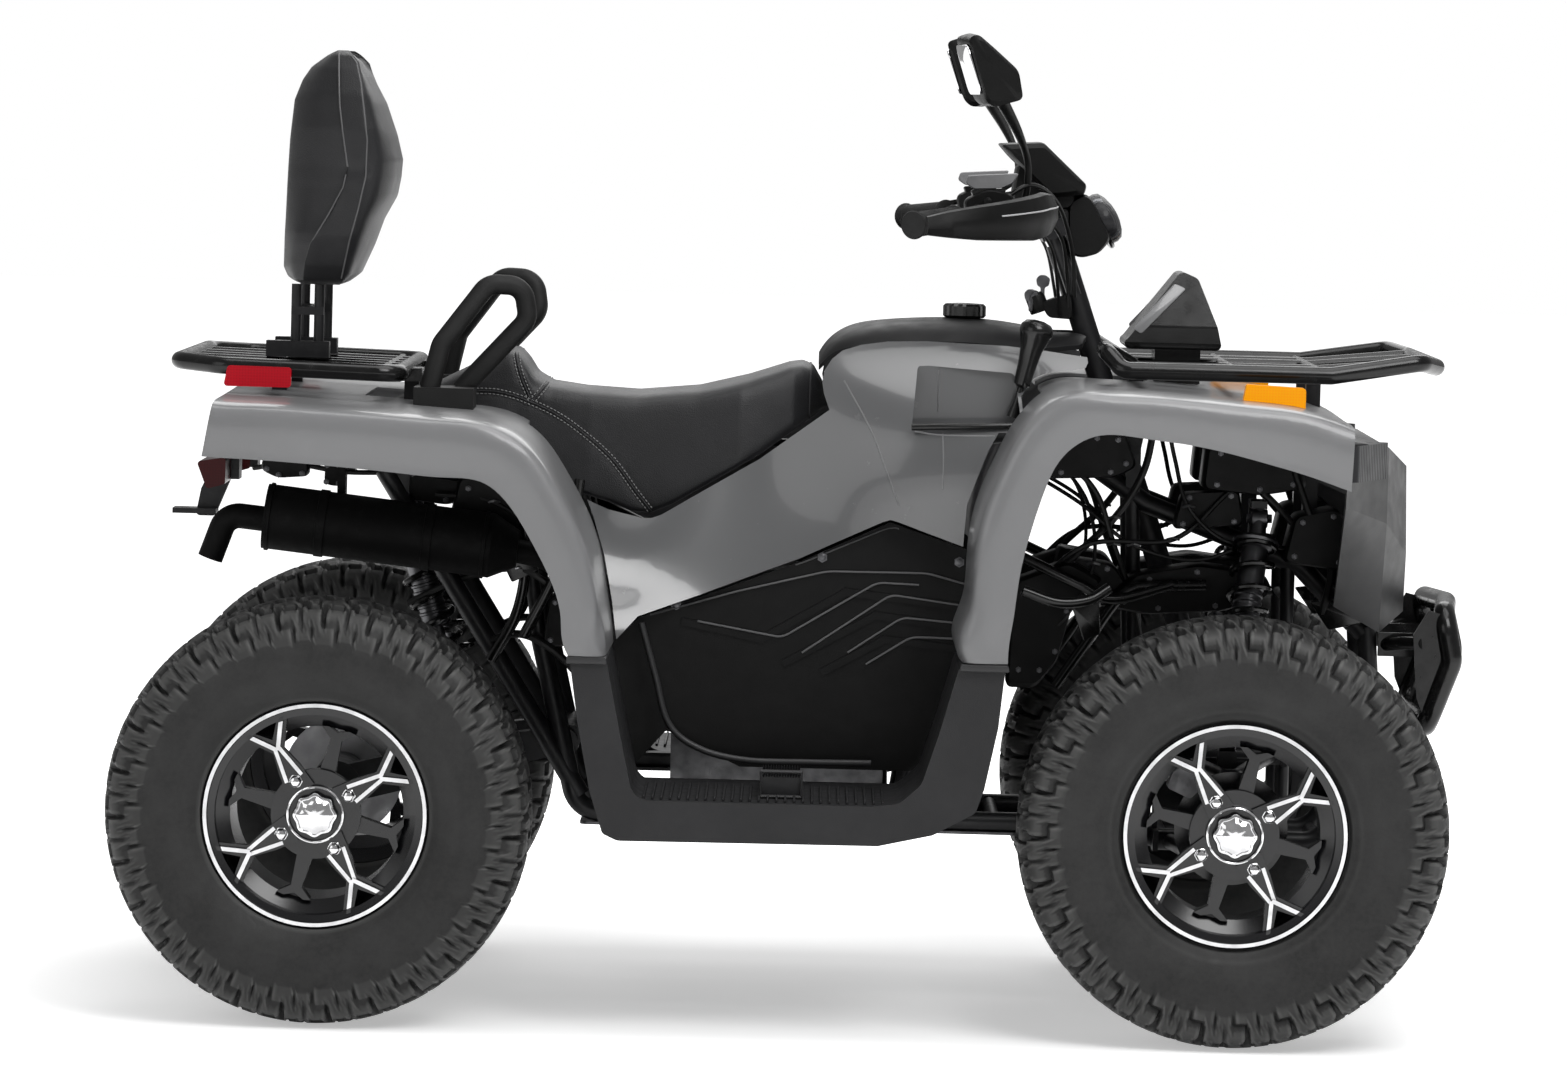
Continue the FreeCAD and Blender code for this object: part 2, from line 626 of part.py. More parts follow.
def seated(shape, carrier, lift=seat_gap):
    """The part of a shape that stands on a thin carrier, cut to its surface."""
    room = carrier.copy()
    room.translate(Vector(0, 0, lift))
    return max(shape.cut(room).Solids, key=lambda solid: solid.CenterOfMass.z)


def front_fender():
    """The front mudguards and the deck between them, one painted moulding."""
    shell = mudguard(front_flare_outer, front_flare_inner, body_half_width, 4, 13)
    legs = box(150, 352, -deck_half_width - 8, deck_half_width + 8, 500, 1000)
    well = plan_prism([(300, -78), (520, -78), (520, 78), (300, 78)], 800, 1100, 20)
    stem = box(pod_stem[0] - seat_gap, pod_stem[1] + seat_gap, -pod_stem[2] - seat_gap, pod_stem[2] + seat_gap, 900, 1100)
    room = fused([legs, well, stem] + post_room(posts[5:7]))
    return shell.cut(room)


def rear_fender():
    """The rear mudguards, the deck between them and the tail, one painted moulding."""
    shell = mudguard(rear_flare_outer, rear_flare_inner, body_half_width - 5, 6, 13)
    legs = box(-420, -200, -deck_half_width + 40, deck_half_width - 40, 500, 1000)
    seat_well = box(-672, -400, -seat_tail_half_width - 14, seat_tail_half_width + 14, 700, 1100)
    return shell.cut(fused([legs, seat_well] + post_room(posts[:2])))


def side_half_width(shift):
    """Rows of points over the body's side, (x, -half width, z), moved inwards by shift."""
    xs = (-330, -150, 0, 100, 200, 330, 470)
    table = {
        540: (300, 252, 238, 236, 236, 240, 250),
        650: (268, 235, 232, 238, 245, 250, 250),
        750: (225, 205, 215, 240, 258, 262, 255),
        850: (200, 186, 196, 236, 262, 266, 250),
        900: (190, 178, 185, 222, 248, 254, 235),
        960: (180, 170, 168, 186, 202, 206, 190),
        1035: (160, 148, 132, 136, 140, 142, 130),
    }
    return [[(x, -table[z][k] + shift, z) for k, x in enumerate(xs)] for z in sorted(table)]


def side_cover():
    """The right painted side panel, from the tank's shoulder down to the rear mudguard, with the lever's pocket."""
    slab = smooth_face(side_half_width(0.0)).extrude(Vector(0, skin, 0))
    outline = [
        (-277, 566), (-246, 600), (-155, 632), (-5, 690), (118, 749), (130, 753), (142, 750), (240, 716), (244, 780),
        (258, 820), (274, 862), (298, 906), (334, 962), (342, 970), (356, 976), (420, 986), (424, 994), (423, 1002),
        (360, 1010), (300, 1016), (180, 1020), (120, 1018), (80, 1012), (52, 1003), (36, 990), (25, 972), (22, 955),
        (25, 938), (34, 914), (-70, 836), (-216, 750), (-230, 745), (-244, 745), (-296, 757), (-328, 770),
        (-320, 752), (-316, 740), (-300, 690), (-285, 620),
    ]
    panel = slab.common(side_prism(outline, -330, -100))
    pocket = side_prism([(158, 894), (166, 985), (312, 976), (324, 894)], -300, -172, 8)
    tray = side_prism([(153, 889), (161, 990), (317, 981), (329, 889)], -270, -167, 8)
    tray = tray.cut(pocket).common(smooth_face(side_half_width(0.0)).extrude(Vector(0, 160, 0)))
    return fused([panel.cut(pocket), tray])


def tank_cover():
    """The black cover on top of the tank, from the seat's nose to the steering column."""
    rows = []
    for x, top in ((12, 985), (30, 1015), (60, 1036), (110, 1047), (200, 1053), (300, 1049), (380, 1040), (440, 1028)):
        rows.append([(x, y, top - drop) for y, drop in ((-150, 42), (-125, 24), (-95, 10), (-50, 3), (0, 0), (50, 3),
                                                        (95, 10), (125, 24), (150, 42))])
    slab = smooth_face(rows).extrude(Vector(0, 0, -skin - 2))
    plan = plan_prism([(16, -120), (70, -134), (300, -138), (415, -120), (425, -66), (352, -50), (352, 50), (425, 66),
                       (415, 120), (300, 138), (70, 134), (16, 120)], 900, 1100, 12)
    return slab.common(plan).cut(Part.makeCylinder(24 + seat_gap, 100, Vector(238, 0, 1000)))


def fuel_cap():
    """The screw cap of the fuel tank, ribbed round its edge."""
    cap = Part.makeCylinder(34, 22, Vector(238, 0, 1054), Vector(0, 0, 1))
    neck = Part.makeCylinder(24, 16, Vector(238, 0, 1040), Vector(0, 0, 1))
    notches = []
    for k in range(12):
        angle = math.radians(30 * k)
        notches.append(Part.makeCylinder(4, 30, Vector(238 + 37 * math.cos(angle), 37 * math.sin(angle), 1053)))
    return fused([cap, neck]).cut(Part.makeCompound(notches))


def engine_cover():
    """The right black side cover over the engine, with its raised chevrons."""
    rows = []
    for z, shift in ((360, 0), (450, 2), (560, 6), (650, 8), (760, 10)):
        rows.append([(x, -222 + shift + bulge, z) for x, bulge in ((-320, -20), (-200, -6), (-60, 0), (80, 0),
                                                                    (200, 0), (330, 4))])
    outline = [
        (-292, 548), (-246, 594), (-155, 626), (-5, 684), (130, 747), (256, 706), (300, 640), (262, 480), (226, 372),
        (-88, 372), (-200, 425), (-252, 366), (-282, 372),
    ]
    slab = smooth_face(rows).extrude(Vector(0, skin, 0))
    panel = slab.common(side_prism(outline, -300, -150, 6))
    raised = smooth_face([[(x, y - 4, z) for x, y, z in row] for row in rows]).extrude(Vector(0, 7, 0))
    for line in chevrons:
        for start, end in zip(line, line[1:]):
            panel = panel.fuse(raised.common(radial_bar(start, end, 11, -300, -150)))
    return panel


def guard_channel(outer, y_out, y_in, corner, wall):
    """A hollow moulding seen as a band from the side: its face, and walls that run inwards all round."""
    whole = side_prism(outer, y_out, y_in, corner)
    inside = Part.Face(closed_outline([(x, y_out + wall, z) for x, z in outer], corner)).OuterWire
    inside = Part.Face(inside.makeOffset2D(-wall)).extrude(Vector(0, y_in - y_out - wall, 0))
    return whole.cut(inside)


def footwell():
    """The right footwell: floor, sill and the two mudguards that rise from it, one black moulding."""
    band = [
        (-338, 556), (-284, 556), (-263, 455), (-240, floor_z), (108, floor_z), (150, 355), (182, 384), (206, 460), (232, 556),
        (300, 556), (292, 470), (274, 380), (262, 344), (200, 310), (120, 292), (-262, sill_z), (-284, 300), (-304, 362),
        (-324, 462),
    ]
    corner = [3, 3, 10, 30, 10, 30, 30, 10, 3, 3, 10, 10, 18, 18, 10, 22, 10, 10, 10]
    y_out, y_in = -body_half_width + 10, -240.0
    floor = side_prism([(-262, floor_z - skin), (-262, floor_z), (170, floor_z), (170, floor_z - skin)], y_out + 2, -200)
    shell = guard_channel(band, y_out, y_in, corner, skin)
    under = box(-400, 400, y_out + 30, 0, 200, floor_z - skin)
    shell = shell.cut(under)
    return fused([shell, floor])


def foot_rest():
    """The right foot peg with its serrated edge, on the footwell's floor."""
    peg = box(-52, 4, -470, -300, floor_z + seat_gap, floor_z + 34)
    teeth = []
    for k in range(14):
        x = -52 + 4 * k
        teeth.append(side_prism([(x, floor_z + 35), (x + 4, floor_z + 35), (x + 2, floor_z + 30)], -480, -290))
    return peg.cut(Part.makeCompound(teeth))


def front_cowl():
    """The nose: a faceted black shell between the headlights, open behind, with a slatted grille."""
    def section(x, half_top, half_mid, half_low, z_top, z_mid, z_low):
        return Part.makePolygon([Vector(x, y, z) for y, z in (
            (-half_top, z_top), (-half_mid, z_mid), (-half_low, z_low), (half_low, z_low), (half_mid, z_mid),
            (half_top, z_top), (-half_top, z_top))])

    outer = Part.makeLoft([section(800, 470, 430, 250, 900, 800, 640), section(872, 300, 300, 215, 884, 770, 600),
                           section(912, 150, 190, 165, 850, 720, 630)], True, True)
    inner = Part.makeLoft([section(790, 464, 424, 244, 894, 806, 648), section(866, 292, 292, 207, 876, 776, 608),
                           section(905, 142, 182, 157, 842, 726, 638)], True, True)
    shell = outer.cut(inner)
    slots = [box(880, 930, -110, 110, z, z + 12) for z in (736, 758, 780, 802)]
    room = both_sides(fused([
        tube(nose_loop, rail_radius + seat_gap, 45), tube(top_rail, rail_radius + seat_gap, 60)]))
    room.append(rod((862, -nose_rail_y, 596), (862, nose_rail_y, 596), brace_radius + seat_gap))
    for piece in room + both_sides(headlamp(seat_gap)):
        shell = shell.cut(piece)
    return shell.cut(Part.makeCompound(slots))


# Seat and backrest
def seat():
    """The seat, as a plain padded block."""
    outline = [
        (-652, 900), (-567, 934), (-476, 980), (-445, 989), (-428, 968), (-406, 944), (-320, 929), (-259, 927),
        (-166, 936), (-90, 955), (-28, 976), (-3, 980), (20, 956), (31, 918), (-70, 839), (-235, 746), (-296, 761),
        (-373, 791), (-420, 842), (-497, 875), (-640, 886),
    ]
    corner = [4, 30, 14, 14, 12, 14, 40, 40, 40, 40, 20, 14, 14, 10, 30, 18, 20, 16, 14, 20, 4]
    tail, middle = seat_tail_half_width, seat_half_width
    plan = plan_prism([(-664, -tail + 24), (-640, -tail), (-440, -tail), (-330, -middle), (-100, -middle), (40, -96),
                       (40, 96), (-100, middle), (-330, middle), (-440, tail), (-640, tail), (-664, tail - 24)],
                      700, 1100, [20, 20, 60, 60, 80, 20, 20, 80, 60, 60, 20, 20])
    return side_prism(outline, -200, 200, corner).common(plan)


def backrest():
    """The passenger's backrest pad, as a plain padded block."""
    outline = [
        (-735, 1439), (-701, 1422), (-680, 1387), (-640, 1290), (-637, 1241), (-659, 1187), (-692, 1098), (-726, 1080),
        (-787, 1083), (-807, 1106), (-803, 1221), (-795, 1361), (-773, 1408),
    ]
    pad = side_prism(outline, -178, 178, [14, 14, 30, 30, 30, 40, 14, 14, 12, 14, 60, 20, 20])
    face = front_prism([(-120, 1070), (120, 1070), (178, 1150), (178, 1330), (120, 1450), (-120, 1450), (-178, 1330),
                        (-178, 1150)], -900, -600, 40)
    return pad.common(face)


def backrest_frame():
    """The two posts of the backrest and the brackets that clamp them to the rack."""
    pieces = []
    for x, y in ((-783, -88), (-748, -88)):
        pieces.append(rod((x, y, rear_rack_z + 7.6), (x, y, 1081 - seat_gap), 8))
    pieces.append(box(-827, -731, -104, -72, rear_rack_z + 7.6, rear_rack_z + 32))
    right = fused(pieces)
    tie = rod((-766, -88, 1040), (-766, 88, 1040), 7)
    spread = box(-790, -741, -96, -80, 1034, 1046)
    return fused(both_sides(right) + both_sides(spread) + [tie])


# Racks and handles
def rear_rack():
    """The rear carrier: a bent ring, long bars, cross bars and feet on the frame's posts."""
    w, z = rear_rack_half_width, rear_rack_z
    pieces = [ring_tube([(-945, -w + 50, z + 4), (-880, -w, z), (-612, -w, z - 6), (-612, w, z - 6), (-880, w, z),
                         (-945, w - 50, z + 4)], rack_radius, 34)]
    for y in (-190, -88, 0, 88, 190):
        pieces.append(rod((-945, y, z + 2), (-612, y, z - 6), rack_bar_radius))
    for x, y, _, top in posts[:2]:
        for side in (-1, 1):
            pieces.append(box(x - 16, x + 16, side * -y - 20, side * -y + 44, top + seat_gap, z - 2))
    pieces.append(rod((-800, -w, z - 2), (-800, w, z - 2), rack_bar_radius))
    pieces.append(rod((-640, -w, z - 5), (-640, w, z - 5), rack_bar_radius))
    return fused(pieces)


def grab_handle(carrier):
    """The right grab handle, a padded loop that stands up beside the rear seat."""
    loop = tube([(-568, -262, 930), (-552, -256, 1000), (-484, -232, 1092), (-432, -222, 1090), (-424, -214, 1040),
                 (-524, -214, 930)], 15, 28)
    foot = seated(box(-590, -500, -292, -196, 880, 936), carrier)
    return fused([loop, foot])


def front_rack():
    """The front carrier: a bent ring that rises towards the front, with long bars and feet on the frame's posts."""
    w, z = front_rack_half_width, front_rack_z
    half = [(492, -110, z), (448, -180, z + 26), (446, -w + 30, z + 26), (470, -w, z), (780, -w, z),
            (915, -w + 20, z + 22), (944, -w + 90, z + 14)]
    pieces = [ring_tube(half + [(x, -y, height) for x, y, height in reversed(half)], rack_radius, 20)]
    for y in (-215, 215):
        pieces.append(tube([(448, y, z + 26), (474, y, z), (780, y, z), (935, y, z + 16)], rack_bar_radius, 24))
    for y in (-100, 100):
        pieces.append(tube([(492, y, z), (780, y, z), (938, y, z + 14)], rack_bar_radius, 24))
    for x in (500, 640, 770):
        pieces.append(rod((x, -w, z), (x, w, z), rack_bar_radius))
    for x, y, _, top in posts[5:7]:
        for side in (-1, 1):
            pieces.append(box(x - 12, x + 12, side * y - 16, side * y + 16, top + seat_gap, z + 4))
    return fused(pieces)


def front_pod():
    """The wedge-shaped housing that stands behind the front rack, with its stem."""
    wedge = side_prism([(465, 1015), (487, 1031), (566, 1135), (592, 1124), (623, 1050), (631, 1015)], -92, 92,
                       [8, 20, 12, 14, 20, 8])
    taper = front_prism([(-92, 1010), (-92, 1050), (-64, 1150), (64, 1150), (92, 1050), (92, 1010)], 400, 700, 16)
    stem = box(pod_stem[0], pod_stem[1], -pod_stem[2], pod_stem[2], 962, 1020)
    bars = [rod((x, -400, front_rack_z), (x, 400, front_rack_z), rack_bar_radius + seat_gap) for x in (500, 640)]
    return fused([wedge.common(taper), stem]).cut(Part.makeCompound(bars))


def bumper():
    """The front bumper: a bowed ring of thick tube, side gussets, two uprights and the stays that carry it."""
    ring = ring_tube([(950, -192, 458), (986, -200, 558), (972, -198, 630), (992, 0, 634), (972, 198, 630),
                      (986, 200, 558), (950, 192, 458), (962, 0, 452)], 16, 34)
    pieces = [ring]
    for side in (-1, 1):
        y = side * nose_rail_y
        pieces.append(tube([(955, y, 456), (1002, y, 560), (985, y, 632)], 11, 60))
        pieces.append(box(875 + rail_radius + seat_gap, 960, y - 5, y + 5, 440, 468))
        pieces.append(box(866 + rail_radius + seat_gap, 990, y - 5, y + 5, 556, 592))
        gusset = side_prism([(950, 462), (984, 558), (972, 628), (948, 634), (926, 596), (934, 500)], side * 196 - 3,
                            side * 196 + 3)
        pieces.append(gusset)
        pieces.append(tube([(866 + rail_radius + seat_gap + 12, y, 574), (914, side * 150, 580), (944, side * 196, 584)],
                           10, 30))
    return fused(pieces)


def skid_plate():
    """The flat guard under the engine, fixed below the lower rails."""
    top = lower_rail_z - rail_radius - seat_gap
    plate = plan_prism([(-330, -150), (330, -150), (410, -128), (410, 128), (330, 150), (-330, 150)], top - 4, top, 12)
    return plate


# Lamps and reflectors
def headlamp(grow=0.0):
    """The right headlamp in the corner of the nose; grow makes the room that the cowl leaves round it."""
    wire = closed_outline([(812, -458, 838 - grow), (862, -330, 838 - grow), (874, -302, 838 - grow),
                           (846, -300, 838 - grow), (800, -330, 838 - grow), (790, -440, 838 - grow)], 10)
    if grow:
        wire = wire.makeOffset2D(grow)
    return Part.Face(wire).extrude(Vector(0, 0, 54 + 2 * grow))


def tail_lamp():
    """The right tail lamp under the edge of the rear deck."""
    return side_prism([(-912, 817), (-868 - seat_gap, 824), (-868 - seat_gap, 784), (-896, 776)], -300, -156, 5)


def front_reflector(carrier):
    """The amber side reflector on the right front mudguard."""
    return seated(side_prism([(640, 930), (736, 930), (736, 974), (648, 978)], -430, -404, 5), carrier)


def rear_reflector():
    """The red side reflector on the rail of the rear carrier."""
    face = rear_rack_half_width + rack_radius + seat_gap
    return side_prism([(-872, 932), (-771, 932), (-771, 962), (-866, 963)], -face - 8, -face, 5)


# Driveline
def engine():
    """The engine and gearbox as one plain block at its real place and size."""
    return box(-195, 130, -104, 104, 303 + seat_gap, 664)


def exhaust():
    """The silencer, its pipe from the engine, the tail pipe and the hanger on the frame."""
    back, front = Vector(-812, -236, 734), Vector(-470, -236, 698)
    along = (front - back).normalize()
    can = Part.makeCylinder(49, (front - back).Length, back, along)
    cone = Part.makeCone(49, 28, 40, front, along)
    pipe = tube([(-480, -236, 699), (-396, -228, 684), (-320, -158, 640), (-244, -84, 600), (-195 - seat_gap, -84, 600)], 18, 34)
    tail = tube([(-800, -236, 728), (-870, -236, 735), (-894, -236, 668)], 19, 28)
    hanger = box(-706, -694, -216, -172 - seat_gap, 745, 838)
    return fused([can, cone, pipe, tail, hanger])


def hitch():
    """The tow bracket at the tail."""
    plate = side_prism([(-866 - seat_gap, 858), (-866 - seat_gap, 820), (-908, 718), (-938, 718), (-930, 760), (-884, 858)], -6, 6, 6)
    tongue = box(-972, -905, -24, 24, 722, 730)
    return fused([plate, tongue]).cut(rod((-955, 0, 715), (-955, 0, 735), hitch_hole_radius))


def swingarm():
    """The rear swinging arm with the axle's bearing housing; it also carries the rear dampers."""
    housing = rod((rear_axle_x, -120, rear_axle_z), (rear_axle_x, 30, rear_axle_z), 40)
    pieces = [housing]
    for y in (-swing_y, swing_y):
        pieces.append(side_prism([(swing_pivot_x + 16, swing_pivot_z - 20), (swing_pivot_x + 16, swing_pivot_z + 20),
                                  (-470, 400), (-500, 398), (rear_axle_x, rear_axle_z + 30), (rear_axle_x, rear_axle_z - 30),
                                  (-500, 340)], y - 15, y + 15, 8))
        pieces.append(box(-522, -494, y - 12, y + 12, 376, 398 - seat_gap))
    pieces.append(rod((swing_pivot_x, -swing_y - 18, swing_pivot_z), (swing_pivot_x, swing_y + 18, swing_pivot_z), 20))
    pieces.append(rod((-470, -swing_y, 372), (-470, swing_y, 372), 16))
    pieces.append(rod((rear_axle_x, 24, rear_axle_z), (rear_axle_x, 120, rear_axle_z), 40))
    whole = fused(pieces)
    chain_room = rod((rear_axle_x, 32, rear_axle_z), (rear_axle_x, 86, rear_axle_z), 105)
    disc_room = rod((rear_axle_x, -86, rear_axle_z), (rear_axle_x, -40, rear_axle_z), 105)
    bore = rod((rear_axle_x, -200, rear_axle_z), (rear_axle_x, 200, rear_axle_z), axle_radius + pin_gap)
    return whole.cut(fused([chain_room, bore]))


def rear_axle():
    """The rear axle shaft with its sprocket."""
    x, z = rear_axle_x, rear_axle_z
    reach = rear_track / 2 - 20
    shaft = rod((x, -reach, z), (x, reach, z), axle_radius)
    sprocket = rod((x, 50, z), (x, 56, z), 92)
    hub = rod((x, 44, z), (x, 74, z), 34)
    return fused([shaft, sprocket, hub])


def rear_wheel():
    """Tyre and wheel of the right rear corner."""
    y = -rear_track / 2
    x, z = rear_axle_x, rear_axle_z
    wheel = placed(rim(rear_rim_width, rear_rim_width / 2 + 30), x, y, z)
    bore = rod((x, -rear_track / 2 + 20 - 60, z), (x, 0, z), axle_radius + pin_gap)
    return placed(tyre(rear_tyre_diameter, rear_tyre_width, rear_rim_width), x, y, z), wheel.cut(bore)


def dampers(low, high, spring_radius, coils):
    """A pair of coil-over dampers."""
    return Part.makeCompound(both_sides(shock(low, high, spring_radius, coils)))


# Steering
def along_column(point, shape):
    """A shape drawn about the Z axis, moved to stand on the steering axis at a point."""
    placed_shape = shape.copy()
    placed_shape.rotate(Vector(0, 0, 0), Vector(0, 1, 0), -column_tilt_deg)
    placed_shape.translate(Vector(*point))
    return placed_shape


def pitman_point(side):
    """Where a tie rod's inner end sits: behind the steering axis, a little to one side."""
    tilt = math.radians(column_tilt_deg)
    height = tie_rod_z + steering_arm * math.sin(tilt)
    x, _, z = column_point(height)
    return Vector(x - steering_arm * math.cos(tilt), side * pitman_half_spread, z - steering_arm * math.sin(tilt))


def steering_column():
    """The steering shaft with its pitman arm and bar clamp."""
    base = pitman_point(0) + Vector(steering_arm * math.cos(math.radians(column_tilt_deg)), 0,
                                    steering_arm * math.sin(math.radians(column_tilt_deg)))
    top = Vector(column_top_x, 0, column_top_z)
    shaft = Part.makeCylinder(column_radius, (top - base).Length, base, top - base)
    low, high = Vector(*column_point(tie_rod_z + 92)), Vector(*column_point(860))
    sleeve = Part.makeCylinder(column_radius + 5, (high - low).Length, low, high - low)
    low, high = Vector(*column_point(916)), Vector(*column_point(1170))
    upper = Part.makeCylinder(column_radius + 5, (high - low).Length, low, high - low)
    arm = plan_prism([(-steering_arm - 12, -34), (-steering_arm - 12, 34), (-steering_arm + 14, 34), (18, 20), (18, -20),
                      (-steering_arm + 14, -34)], 8.5, 16.5, 6)
    arm = along_column(base, arm)
    pieces = [shaft, sleeve, upper, arm]
    for side in (-1, 1):
        pin = Part.makeCylinder(5, 20, Vector(-steering_arm, side * pitman_half_spread, -8))
        pieces.append(along_column(base, pin))
    clamp = box(-22, 22, -70, 70, -10, 17.1)
    pieces.append(along_column(top, clamp))
    return fused(pieces)


def tie_rod():
    """The right tie rod, from its eye on the pitman arm to its ball end over the knuckle."""
    inner = pitman_point(-1)
    outer = Vector(front_axle_x - steering_arm, -kingpin_y, tie_rod_z)
    eye = Part.makeCylinder(11, 12.5, Vector(0, 0, -4.3)).cut(Part.makeCylinder(5 + pin_gap, 20, Vector(0, 0, -10)))
    eye = along_column(inner, eye)
    end = rod((outer.x, outer.y, tie_rod_z - 8), (outer.x, outer.y, tie_rod_z + 8), 12)
    toward = (outer - inner).normalize()
    bar = Part.makeCylinder(tie_rod_radius, (outer - inner).Length - 8, inner + toward * 8, toward)
    return fused([eye, end, bar])


def handlebar():
    """The handlebar with its grips."""
    half = [(150, -418, 1200), (238, -262, 1213), (330, -165, 1228), (366, -105, bar_z)]
    bar = tube(half + [(x, -y, z) for x, y, z in reversed(half)], 11, 36)
    grips = []
    for side in (-1, 1):
        a, b = Vector(150, side * 418, 1200), Vector(212, side * 308, 1209)
        grips.append(Part.makeCylinder(17, (b - a).Length, a, b - a))
    return fused([bar] + grips)


def bar_cowl():
    """The visor and the instrument housing over the middle of the handlebar."""
    low = bar_z + 11 + seat_gap
    body = side_prism([(292, low), (300, 1300), (350, 1322), (420, 1256), (426, low)], -92, 92, [6, 12, 12, 8, 3])
    return body


def bar_lamp():
    """The lamp on the front of the handlebar."""
    top = bar_z + 11
    return side_prism([(426, top), (470, 1188), (446, 1166), (412, 1158), (404, 1168), (404, top)], -66, 66,
                      [3, 14, 8, 6, 6, 3])


def hand_guard():
    """The right hand guard, a curved shell in front of the grip."""
    shell = plan_prism([(336, -214), (324, -300), (284, -398), (226, -452), (220, -446), (277, -392), (316, -298),
                        (328, -214)], 1172, 1246, 3)
    bracket = rod((330, -222, 1208), (300.6, -215.2, 1216.4), 7)
    return fused([shell, bracket])


def mirror():
    """The right mirror and its stalk."""
    stalk = tube([(222, -290, 1224.2), (250, -300, 1300), (262, -352, 1395)], 6, 40)
    head = side_prism([(226, 1488), (294, 1440), (306, 1392), (290, 1382), (240, 1388)], -444, -318, 12)
    return fused([stalk, head])


def gear_lever():
    """The gear lever that rises beside the tank."""
    foot = box(272, 308, -236, -204, 894 + seat_gap, 902)
    stem = rod((294, -219, 898), (322, -215, 1018), 6)
    knob = rod((321, -215, 1012), (327, -214, 1048), 17)
    return fused([foot, stem, knob])


def build():
    """Every piece of the quad bike by its node's name."""
    parts = {"frame": frame()}
    front_skin, rear_skin = front_fender(), rear_fender()
    parts["front_fender"], parts["rear_fender"] = front_skin, rear_skin
    parts["side_cover_right"], parts["side_cover_left"] = both_sides(side_cover())
    parts["tank_cover"] = tank_cover()
    parts["fuel_cap"] = fuel_cap()
    parts["engine_cover_right"], parts["engine_cover_left"] = both_sides(engine_cover())
    parts["footwell_right"], parts["footwell_left"] = both_sides(footwell())
    parts["foot_rests"] = Part.makeCompound(both_sides(foot_rest()))
    parts["front_cowl"] = front_cowl()
    parts["seat"] = seat()
    parts["backrest"] = backrest()
    parts["backrest_frame"] = backrest_frame()
    parts["rear_rack"] = rear_rack()
    parts["grab_handles"] = Part.makeCompound(both_sides(grab_handle(rear_skin)))
    parts["front_rack"] = front_rack()
    parts["front_pod"] = front_pod()
    parts["bumper"] = bumper()
    parts["skid_plate"] = skid_plate()
    parts["headlamps"] = Part.makeCompound(both_sides(headlamp()))
    parts["tail_lamps"] = Part.makeCompound(both_sides(tail_lamp()))
    parts["front_reflectors"] = Part.makeCompound(both_sides(front_reflector(front_skin)))
    parts["rear_reflectors"] = Part.makeCompound(both_sides(rear_reflector()))
    parts["engine"] = engine()
    parts["exhaust"] = exhaust()
    parts["hitch"] = hitch()
    parts["swingarm"] = swingarm()
    parts["front_arms"] = front_arms()
    parts["front_dampers"] = dampers(front_shock_low, front_shock_high, 30, 6)
    parts["rear_dampers"] = dampers(rear_shock_low, rear_shock_high, 28, 6)
    parts["gear_lever"] = gear_lever()
    parts["steering_column"] = steering_column()
    parts["handlebar"] = handlebar()
    parts["bar_cowl"] = bar_cowl()
    parts["bar_lamp"] = bar_lamp()
    parts["hand_guards"] = Part.makeCompound(both_sides(hand_guard()))
    parts["mirrors"] = Part.makeCompound(both_sides(mirror()))
    parts["tie_rod_right"], parts["tie_rod_left"] = both_sides(tie_rod())
    parts["knuckle_right"], parts["knuckle_left"] = both_sides(knuckle())
    tyre_right, wheel_right = front_wheel()
    parts["tyre_front_right"], parts["tyre_front_left"] = both_sides(tyre_right)
    parts["wheel_front_right"], parts["wheel_front_left"] = both_sides(wheel_right)
    parts["rear_axle"] = rear_axle()
    tyre_right, wheel_right = rear_wheel()
    parts["tyres_rear"] = Part.makeCompound(both_sides(tyre_right))
    parts["wheels_rear"] = Part.makeCompound(both_sides(wheel_right))
    return parts


if __name__ == "__main__":
    os.makedirs("parts", exist_ok=True)
    for name, shape in build().items():
        shape.exportStep(os.path.join("parts", name + ".step"))
        print(name, round(shape.Volume / 1000), len(shape.Solids), shape.isValid())
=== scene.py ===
"""Looks of a utility quad bike: finishes, seat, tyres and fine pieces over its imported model. Metres, X forwards."""

from __future__ import annotations

import logging
import math
from dataclasses import dataclass
from enum import Enum

import bpy
import numpy as np
from mathutils import Matrix, Vector

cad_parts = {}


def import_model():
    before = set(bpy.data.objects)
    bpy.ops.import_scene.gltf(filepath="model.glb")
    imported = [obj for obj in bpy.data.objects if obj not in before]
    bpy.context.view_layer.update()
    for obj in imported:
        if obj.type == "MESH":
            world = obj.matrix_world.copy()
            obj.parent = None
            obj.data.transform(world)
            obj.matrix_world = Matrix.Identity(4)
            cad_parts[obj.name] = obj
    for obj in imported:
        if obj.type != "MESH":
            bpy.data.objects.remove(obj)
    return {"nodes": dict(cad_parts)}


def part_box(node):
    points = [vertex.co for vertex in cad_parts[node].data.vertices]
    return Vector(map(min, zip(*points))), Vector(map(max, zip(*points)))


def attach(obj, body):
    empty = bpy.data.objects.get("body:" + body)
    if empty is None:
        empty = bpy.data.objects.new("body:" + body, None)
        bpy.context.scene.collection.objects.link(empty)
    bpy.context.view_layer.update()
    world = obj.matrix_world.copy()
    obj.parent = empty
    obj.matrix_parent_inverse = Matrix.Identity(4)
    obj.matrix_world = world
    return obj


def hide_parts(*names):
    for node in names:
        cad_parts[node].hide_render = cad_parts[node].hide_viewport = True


log = logging.getLogger("quad_bike")
Array = np.ndarray
Point = tuple[float, float, float]
Colour = tuple[float, float, float]
